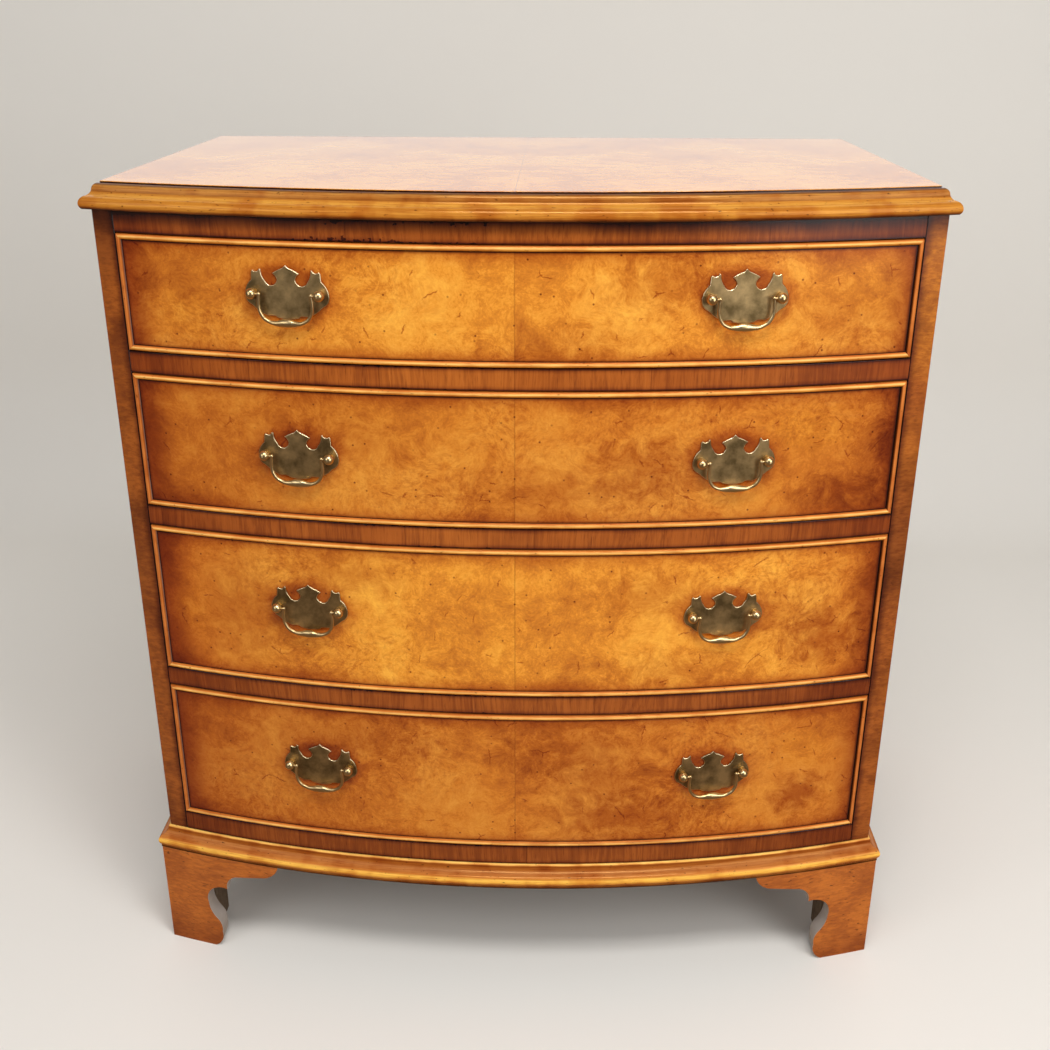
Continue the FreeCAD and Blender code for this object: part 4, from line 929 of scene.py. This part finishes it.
class CHEST_OT_inside(bpy.types.Operator):
    """Finish the bare timber inside, behind and below"""
    bl_idname = "chest.inside"
    bl_label = "Inside and back"

    def execute(self, context):
        pine = bare_timber("planed pine", "X", "C9A574", "A57F4E")
        ply = bare_timber("birch plywood", "Z", "B98F5C", "96703F")
        dusty = bare_timber("planed pine, stained and dusty", "X", "6E5A44", "4E3C2A", 0.8)
        for node in ("drawer_runners", "drawer_stops"):
            paint(node, pine)
        # Their dark stain and dust also stand in for the deep shade under and behind the chest.
        for node in ("bottom_board", "base_frame_back", "foot_glue_blocks"):
            paint(node, dusty)
        paint("back_panel", ply)
        return {"FINISHED"}


# ---- drawers -------------------------------------------------------------------------------------

# How far a drawer's veneer goes into its front, and how far it stands proud of it.
VENEER_IN, VENEER_OUT = 0.0006, 0.00004


class CHEST_OT_drawers(bpy.types.Operator):
    """Veneer the four drawer fronts and finish their boxes"""
    bl_idname = "chest.drawers"
    bl_label = "Drawers"

    def execute(self, context):
        chest = setting("shape")
        oak = bare_timber("planed oak", "Y", "C79A62", "A27743", 0.6)
        core = bare_timber("planed mahogany", "X", "8F5A34", "6E3F22", 0.6)
        for count in DRAWERS:
            low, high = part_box(f"cockbeads_{count}")
            bottom, top = low.z + chest.bead, high.z - chest.bead
            half = chest.front_half - chest.bead
            veneer = burr_drawer(f"burr walnut veneer, drawer {count}", count, half, bottom, top)
            corners = [(-VENEER_IN, bottom), (VENEER_OUT, bottom), (VENEER_OUT, top), (-VENEER_IN, top)]
            run_moulding(f"drawer_veneer_{count}", corners, veneer, f"drawer_{count}", "burr_walnut", [],
                         mitre=(0.0, 0.0), half=half)
            paint(f"drawer_front_{count}", core)
            paint(f"drawer_box_{count}", oak)
            paint(f"drawer_bottom_{count}", oak)
        return {"FINISHED"}


class CHEST_OT_cockbeads(bpy.types.Operator):
    """Run the cockbeads round the drawer fronts, mitred at the corners"""
    bl_idname = "chest.cockbeads"
    bl_label = "Cockbeads"

    def execute(self, context):
        chest = setting("shape")
        level = run_walnut("run walnut, level cockbeads", BEAD_PAINTED_LIGHT_COLOURS, "level", -1.0, 1.0)
        upright = run_walnut("run walnut, upright cockbeads", UPRIGHT_PAINTED_SHADE_COLOURS, "upright", -0.003,
                             chest.bead_proud)
        for count in DRAWERS:
            low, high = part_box(f"cockbeads_{count}")
            for edge, inward in ((low.z, 1), (high.z, -1)):
                bottom, top = min(edge, edge + inward * chest.bead), max(edge, edge + inward * chest.bead)
                nose = chest.bead_proud / chest.bead
                corners = [(-chest.bead_depth, bottom), (0.0, bottom), (0.0, top, nose),
                           (-chest.bead_depth, top)]
                run_moulding(f"bead_{count}_{'low' if inward > 0 else 'high'}", corners, level,
                                           f"drawer_{count}", "walnut", [], mitre=(0.0, -inward),
                                           half=chest.front_half + inward * edge)
            for where, sign in SIDES.items():
                self.upright(chest, f"bead_{count}_{where}", upright, low.z, high.z, sign,
                                           f"drawer_{count}")
            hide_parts(f"cockbeads_{count}")
        return {"FINISHED"}

    def upright(self, chest, name, wood, bottom, top, sign, body):
        """The strip up one end, with its nose square to the front of the chest."""
        inner, outer = chest.front_half - chest.bead, chest.front_half
        nose = chest.bead_proud / chest.bead

        def bow(x, offset):
            return math.sqrt((chest.bow_radius + offset) ** 2 - x * x)

        section = outline([(inner, bow(inner, -chest.bead_depth)), (outer, bow(outer, -chest.bead_depth)),
                           (outer, bow(outer, 0)), (inner, bow(inner, 0), nose)], 8)
        count = len(section)
        points = []
        for end, inward in ((bottom, 1), (top, -1)):
            points += [(sign * x, chest.bow_centre - y, end + inward * (outer - x)) for x, y in section]
        faces = [(i, (i + 1) % count, count + (i + 1) % count, count + i) for i in range(count)]
        faces += [tuple(range(count)), tuple(range(count, 2 * count))]
        mesh = mesh_of(name, points, faces)
        shell = bmesh.new()
        shell.from_mesh(mesh)
        bmesh.ops.recalc_face_normals(shell, faces=shell.faces)
        chart = shell.loops.layers.uv.new("UVMap")
        for face in shell.faces:
            for corner in face.loops:
                spot = corner.vert.co
                out = math.hypot(spot.x, chest.bow_centre - spot.y) - chest.bow_radius
                corner[chart].uv = (spot.z, out)
        shell.to_mesh(mesh)
        shell.free()
        mesh.materials.append(wood)
        outward(mesh)
        sharpened(mesh, 28)
        return place(new_object(name, mesh), body, "walnut")


# ---- handles and screws --------------------------------------------------------------------------

def at_handle(where, level):
    """Where a handle sits: x along its plate, -y straight out of the drawer, z up from its posts."""
    chest = setting("shape")
    turn = SIDES[where] * math.asin(chest.handle_place / chest.bow_radius)
    spot = (SIDES[where] * chest.handle_place, chest.bow_centre - chest.bow_radius * math.cos(turn), level)
    return Matrix.Translation(spot) @ Matrix.Rotation(turn, 4, "Z")


def whole_plate():
    """The whole outline of a handle plate, from its half."""
    handle = setting("brass")
    half = [(across * handle.plate_half, up * (handle.plate_rise if up > 0 else handle.plate_drop), *bulge)
            for across, up, *bulge in PLATE]
    mirrored = [(-half[i][0], half[i][1], *half[i + 1][2:]) for i in range(len(half) - 2, 0, -1)]
    return outline([(*half[0][:2], *half[1][2:]), *half[1:], *mirrored], pitch=0.0012)


def bail_tree():
    """A drop handle: a rod along the modifier's own path, with a round head and a pintle at each
    end. The path's points carry the rod's radius and how flat it is."""
    tree, given = new_tree("Bail", Float=("Arm place", "Head radius", "Pintle radius", "Pintle end"))
    thick = add(tree, "InputNamedAttribute", "thick")
    flat = add(tree, "InputNamedAttribute", "flat")
    path = add(tree, "MeshToCurve", given["Geometry"])
    path = add(tree, "CurveSplineType", path, spline_type="CATMULL_ROM")
    path = add(tree, "ResampleCurve", {"Curve": path, "Count": 89})
    ring = add(tree, "CurvePrimitiveCircle", 16, 1.0)
    rod = add(tree, "CurveToMesh", path, ring.outputs["Curve"], thick.outputs["Attribute"], True)
    # The rod lies in one plane, so flattening it only draws in how far it stands out of that plane.
    x, y, z = add(tree, "SeparateXYZ", add(tree, "InputPosition")).outputs
    shaped = add(tree, "CombineXYZ", x, add(tree, "Math.MULTIPLY", y, flat.outputs["Attribute"]), z)
    rod = add(tree, "SetPosition", {"Geometry": rod, "Position": shaped})
    ends = add(tree, "CurveEndpointSelection")
    ball = add(tree, "MeshUVSphere", 16, 8, given["Head radius"])
    heads = add(tree, "InstanceOnPoints", path, ends, ball.outputs["Mesh"])
    start, end = add(tree, "CombineXYZ", given["Arm place"]), add(tree, "CombineXYZ", given["Pintle end"])
    pin = add(tree, "CurvePrimitiveLine", start, end)
    pin = add(tree, "CurveToMesh", pin, ring.outputs["Curve"], given["Pintle radius"], True)
    other = add(tree, "Transform", {"Geometry": pin, "Rotation": (0.0, 0.0, math.pi)})
    joined = add(tree, "JoinGeometry")
    for part in (other, pin, heads, rod):
        tree.links.new(part.outputs[0], joined.inputs[0])
    return ended(tree, joined, given)


class CHEST_OT_handles(bpy.types.Operator):
    """Cast the brass plates and bails, and tone the posts"""
    bl_idname = "chest.handles"
    bl_label = "Handles"

    def execute(self, context):
        handle = setting("brass")
        toned = cast_brass("cast brass, toned", handle.tarnish, handle.patina, 0.46)
        rubbed = cast_brass("cast brass, rubbed arris", handle.handled, handle.rubbed, 0.3)
        handled = cast_brass("cast brass, handled", handle.patina, handle.handled, 0.30)
        tree = bail_tree()
        for count, (_, level, _) in DRAWERS.items():
            self.plates(handle, count, level, (toned, rubbed))
            paint(f"handle_posts_{count}", handled)
            for where in SIDES:
                self.bail(handle, count, level, where, tree, handled)
        return {"FINISHED"}

    def plates(self, handle, count, level, materials):
        """Both of a drawer's plates, with their arrises rubbed bright."""
        rim = whole_plate()
        size = len(rim)
        points, faces = [], []
        for where in SIDES:
            turn = at_handle(where, level)
            first = len(points)
            points += [turn @ Vector((x, y, z)) for y in (0.0, -handle.plate_thick) for x, z in rim]
            faces += [[first + i for i in range(size)], [first + size + i for i in reversed(range(size))]]
            faces += [(first + (i + 1) % size, first + i, first + size + i, first + size + (i + 1) % size)
                      for i in range(size)]
        mesh = outward(mesh_of(f"brass_plates_{count}", points, faces))
        piece = new_object(f"brass_plates_{count}", mesh)
        ease(piece, handle.plate_ease, materials, False)
        place(piece, f"drawer_{count}", "antique_brass", f"handle_plates_{count}")

    def bail(self, handle, count, level, where, tree, brass):
        """One bail, hanging straight down from its posts."""
        left_half = [(-x, z, thick, flat) for x, z, thick, flat in BAIL[:-1]]
        path = left_half + BAIL[::-1]
        points = [(x * handle.arm_place, 0.0, -z * handle.bail_drop) for x, z, thick, flat in path]
        seed = mesh_of("path", points, edges=[(i, i + 1) for i in range(len(points) - 1)])
        for name, column in (("thick", 2), ("flat", 3)):
            column = [row[column] for row in path]
            seed.attributes.new(name, "FLOAT", "POINT").data.foreach_set("value", column)
        mesh = grown(f"bail_{count}_{where}", seed, tree, {
            "Arm place": handle.arm_place, "Head radius": handle.head_radius, "Pintle end": handle.pintle_end,
            "Pintle radius": handle.pintle_radius, "Material": brass})
        mesh.transform(at_handle(where, level) @ Matrix.Translation((0.0, -handle.bail_reach, 0.0)))
        sharpened(mesh, 50)
        place(new_object(f"swan_neck_{count}_{where}", mesh), f"handle_{count}_{where}", "antique_brass",
              f"bail_{count}_{where}")


def screw_tree():
    """Slotted screws in level rows, each driven home to its own angle. The modifier's own mesh is
    one screw that points forward, with its head's middle at the origin."""
    tree, given = new_tree("Screws", Float=("Across", "Up"), Int=("Rows",), Vector=("Slot", "Middle"))
    saw = add(tree, "MeshCube", given["Slot"])
    slotted = add(tree, "MeshBoolean.DIFFERENCE", given["Geometry"], saw.outputs["Mesh"], solver="EXACT")
    rows = add(tree, "MeshGrid", given["Across"], given["Up"], 2, given["Rows"])
    stood = add(tree, "Transform", {"Geometry": rows, "Rotation": (math.pi / 2, 0, 0),
                                    "Translation": given["Middle"]})
    turn = add(tree, "RandomValue", {2: 0.0, 3: math.pi, "Seed": 5})
    turn = add(tree, "CombineXYZ", {"Y": turn.outputs[1]})
    set_in = add(tree, "InstanceOnPoints", {"Points": stood, "Instance": slotted, "Rotation": turn})
    return ended(tree, set_in, given)


class CHEST_OT_screws(bpy.types.Operator):
    """Drive the slotted screws that hold the back"""
    bl_idname = "chest.screws"
    bl_label = "Screws"

    def execute(self, context):
        low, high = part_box("back_panel_screws")
        head, shank, tip, sunk, depth = 0.0035, 0.0015, 0.0003, 0.002, high.y - low.y
        steps = 20
        points = [(radius * math.cos(turn), -back, radius * math.sin(turn))
                  for radius, back in ((head, 0.0), (shank, sunk), (shank, depth - shank), (tip, depth))
                  for turn in (2 * math.pi * step / steps for step in range(steps))]
        faces = [(ring * steps + i, ring * steps + (i + 1) % steps, (ring + 1) * steps + (i + 1) % steps,
                  (ring + 1) * steps + i) for ring in range(3) for i in range(steps)]
        faces += [tuple(reversed(range(steps))), tuple(range(3 * steps, 4 * steps))]
        screw = outward(mesh_of("screw", points, faces))
        mesh = grown("back_screws", screw, screw_tree(), {
            "Across": high.x - low.x - 2 * head, "Up": high.z - low.z - 2 * head, "Rows": 5,
            "Slot": (0.0012, 0.0024, 0.009), "Middle": (0.0, high.y, (low.z + high.z) / 2),
            "Material": zinc_plate("zinc plate")})
        sharpened(mesh, 40)
        body = frame["nodes"]["back_panel_screws"]["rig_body"]
        place(new_object("back_screws", mesh), body, "steel", "back_panel_screws")
        return {"FINISHED"}


# ---- the stand, the light and the camera ---------------------------------------------------------

# Each lamp's place, width and height. All of them point at one spot.
LAMPS = {"key": ((1.5, -1.75, 1.35), 1.1, 1.7), "fill": ((-1.5, -1.7, 1.5), 1.2, 1.2),
         "top": ((0.2, -1.15, 2.25), 1.1, 0.5)}
LIT = (0.0, 0.0, 0.5)
CAMERA_PLACE = (0.0381, -1.26635, 0.9456)
CAMERA_TURNS = (("Z", 1.596), ("X", 67.364), ("Z", 0.138))


class CHEST_OT_stage(bpy.types.Operator):
    """Set the plain floor, the soft light and the camera"""
    bl_idname = "chest.stage"
    bl_label = "Stage"

    def execute(self, context):
        studio = setting("studio")
        paper, tree = new_material("matt studio paper")
        shader = add(tree, "BsdfPrincipled", {"Base Color": studio.floor, "Roughness": 0.9,
                                              "Specular IOR Level": 0.2})
        # Polish mirrors a painted reflection: for glossy rays only, the floor and backdrop glow as a warm
        # floor in front of the chest and a white card behind it.
        _, _, up = add(tree, "SeparateXYZ", add(tree, "NewGeometry").outputs["Position"]).outputs
        card = add(tree, "MapRange", up, 0.3, 0.7)
        card = glazed(tree, "7A6450", card, (1, 1, 1), "MIX")
        mirrored = add(tree, "Emission", card, 1.0)
        path = add(tree, "LightPath")
        mixed = add(tree, "MixShader", path.outputs["Is Glossy Ray"], shader, mirrored)
        # From behind, the backdrop lets the camera see the chest's back.
        behind = add(tree, "NewGeometry").outputs["Backfacing"]
        behind = add(tree, "Math.MULTIPLY", behind, path.outputs["Is Camera Ray"])
        mixed = add(tree, "MixShader", behind, mixed, add(tree, "BsdfTransparent"))
        add(tree, "OutputMaterial", mixed)
        # The floor runs back to a wall 1.2 m behind the middle, and turns up into it in a wide round.
        bend, wall, front, height, half = 0.3, 1.2, -3.0, 3.2, 4.0
        turns = [math.radians(degrees) for degrees in range(0, 91, 6)]
        sweep = [(front, 0.0), *((wall - bend + bend * math.sin(turn), bend - bend * math.cos(turn))
                                 for turn in turns), (wall, height)]
        points = [(x, y, z) for y, z in sweep for x in (-half, half)]
        faces = [(2 * i, 2 * i + 1, 2 * i + 3, 2 * i + 2) for i in range(len(sweep) - 1)]
        mesh = mesh_of("floor_and_backdrop", points, faces)
        mesh.materials.append(paper)
        mesh.shade_smooth()
        new_object("floor_and_backdrop", mesh)

        for name, (spot, width, height) in LAMPS.items():
            lamp = bpy.data.lights.new(name, "AREA")
            lamp.shape = "RECTANGLE"
            lamp.energy, lamp.size, lamp.size_y = getattr(studio, name), width, height
            holder = new_object(name, lamp)
            holder.location = spot
            holder.rotation_euler = (Vector(LIT) - Vector(spot)).to_track_quat("-Z", "Y").to_euler()

        world = bpy.data.worlds.new("even light")
        context.scene.world = world
        world.use_nodes = True
        tree = world.node_tree
        tree.nodes.clear()
        _, _, up = add(tree, "SeparateXYZ", add(tree, "TexCoord").outputs["Generated"]).outputs
        level = add(tree, "MapRange", up, 0.0, 0.9, 0.45 * studio.sky, 1.6 * studio.sky)
        path = add(tree, "LightPath")
        dim = add(tree, "MapRange", {"Value": path.outputs["Is Glossy Ray"], "To Min": 1.0, "To Max": 0.45})
        level = add(tree, "Math.MULTIPLY", level, dim)
        level = add(tree, "Mix", path.outputs["Is Camera Ray"], level, 0.72)
        add(tree, "OutputWorld", add(tree, "Background", (1, 1, 1), level))

        camera = new_object("camera", bpy.data.cameras.new("camera"))
        camera.data.lens, camera.data.sensor_width = studio.lens, 36.0
        camera.data.sensor_fit = "HORIZONTAL"
        camera.data.shift_y = 0.0024
        camera.data.clip_start = 0.05
        stood = Matrix.Translation(CAMERA_PLACE)
        for axis, degrees in CAMERA_TURNS:
            stood @= Matrix.Rotation(math.radians(degrees), 4, axis)
        camera.matrix_world = stood
        context.scene.camera = camera
        context.scene.view_settings.view_transform = "Standard"
        return {"FINISHED"}


class CHEST_PT_panel(bpy.types.Panel):
    """The chest's pieces, in the order they are made"""
    bl_label = "Bow Front Chest"
    bl_idname = "CHEST_PT_panel"
    bl_space_type = "VIEW_3D"
    bl_region_type = "UI"
    bl_category = "Chest"

    def draw(self, context):
        for kind in OPERATORS:
            self.layout.operator(kind.bl_idname)
        for group in SETTINGS:
            box = self.layout.box()
            settings = getattr(context.scene, group)
            for name in settings.__annotations__:
                box.prop(settings, name)


SETTINGS = {"chest_shape": ChestShape, "chest_walnut": WalnutFinish, "chest_brass": BrassFinish,
            "chest_studio": StudioSet}
OPERATORS = (CHEST_OT_stage, CHEST_OT_mouldings, CHEST_OT_top, CHEST_OT_carcass, CHEST_OT_feet,
             CHEST_OT_inside, CHEST_OT_drawers, CHEST_OT_cockbeads, CHEST_OT_handles, CHEST_OT_screws)


def register():
    for kind in (*SETTINGS.values(), *OPERATORS, CHEST_PT_panel):
        bpy.utils.register_class(kind)
    for name, kind in SETTINGS.items():
        setattr(bpy.types.Scene, name, PointerProperty(type=kind))


def unregister():
    for name in SETTINGS:
        delattr(bpy.types.Scene, name)
    for kind in reversed((*SETTINGS.values(), *OPERATORS, CHEST_PT_panel)):
        bpy.utils.unregister_class(kind)


def main():
    register()
    for kind in OPERATORS:
        group, name = kind.bl_idname.split(".")
        getattr(getattr(bpy.ops, group), name)()


if __name__ == "__main__":
    main()
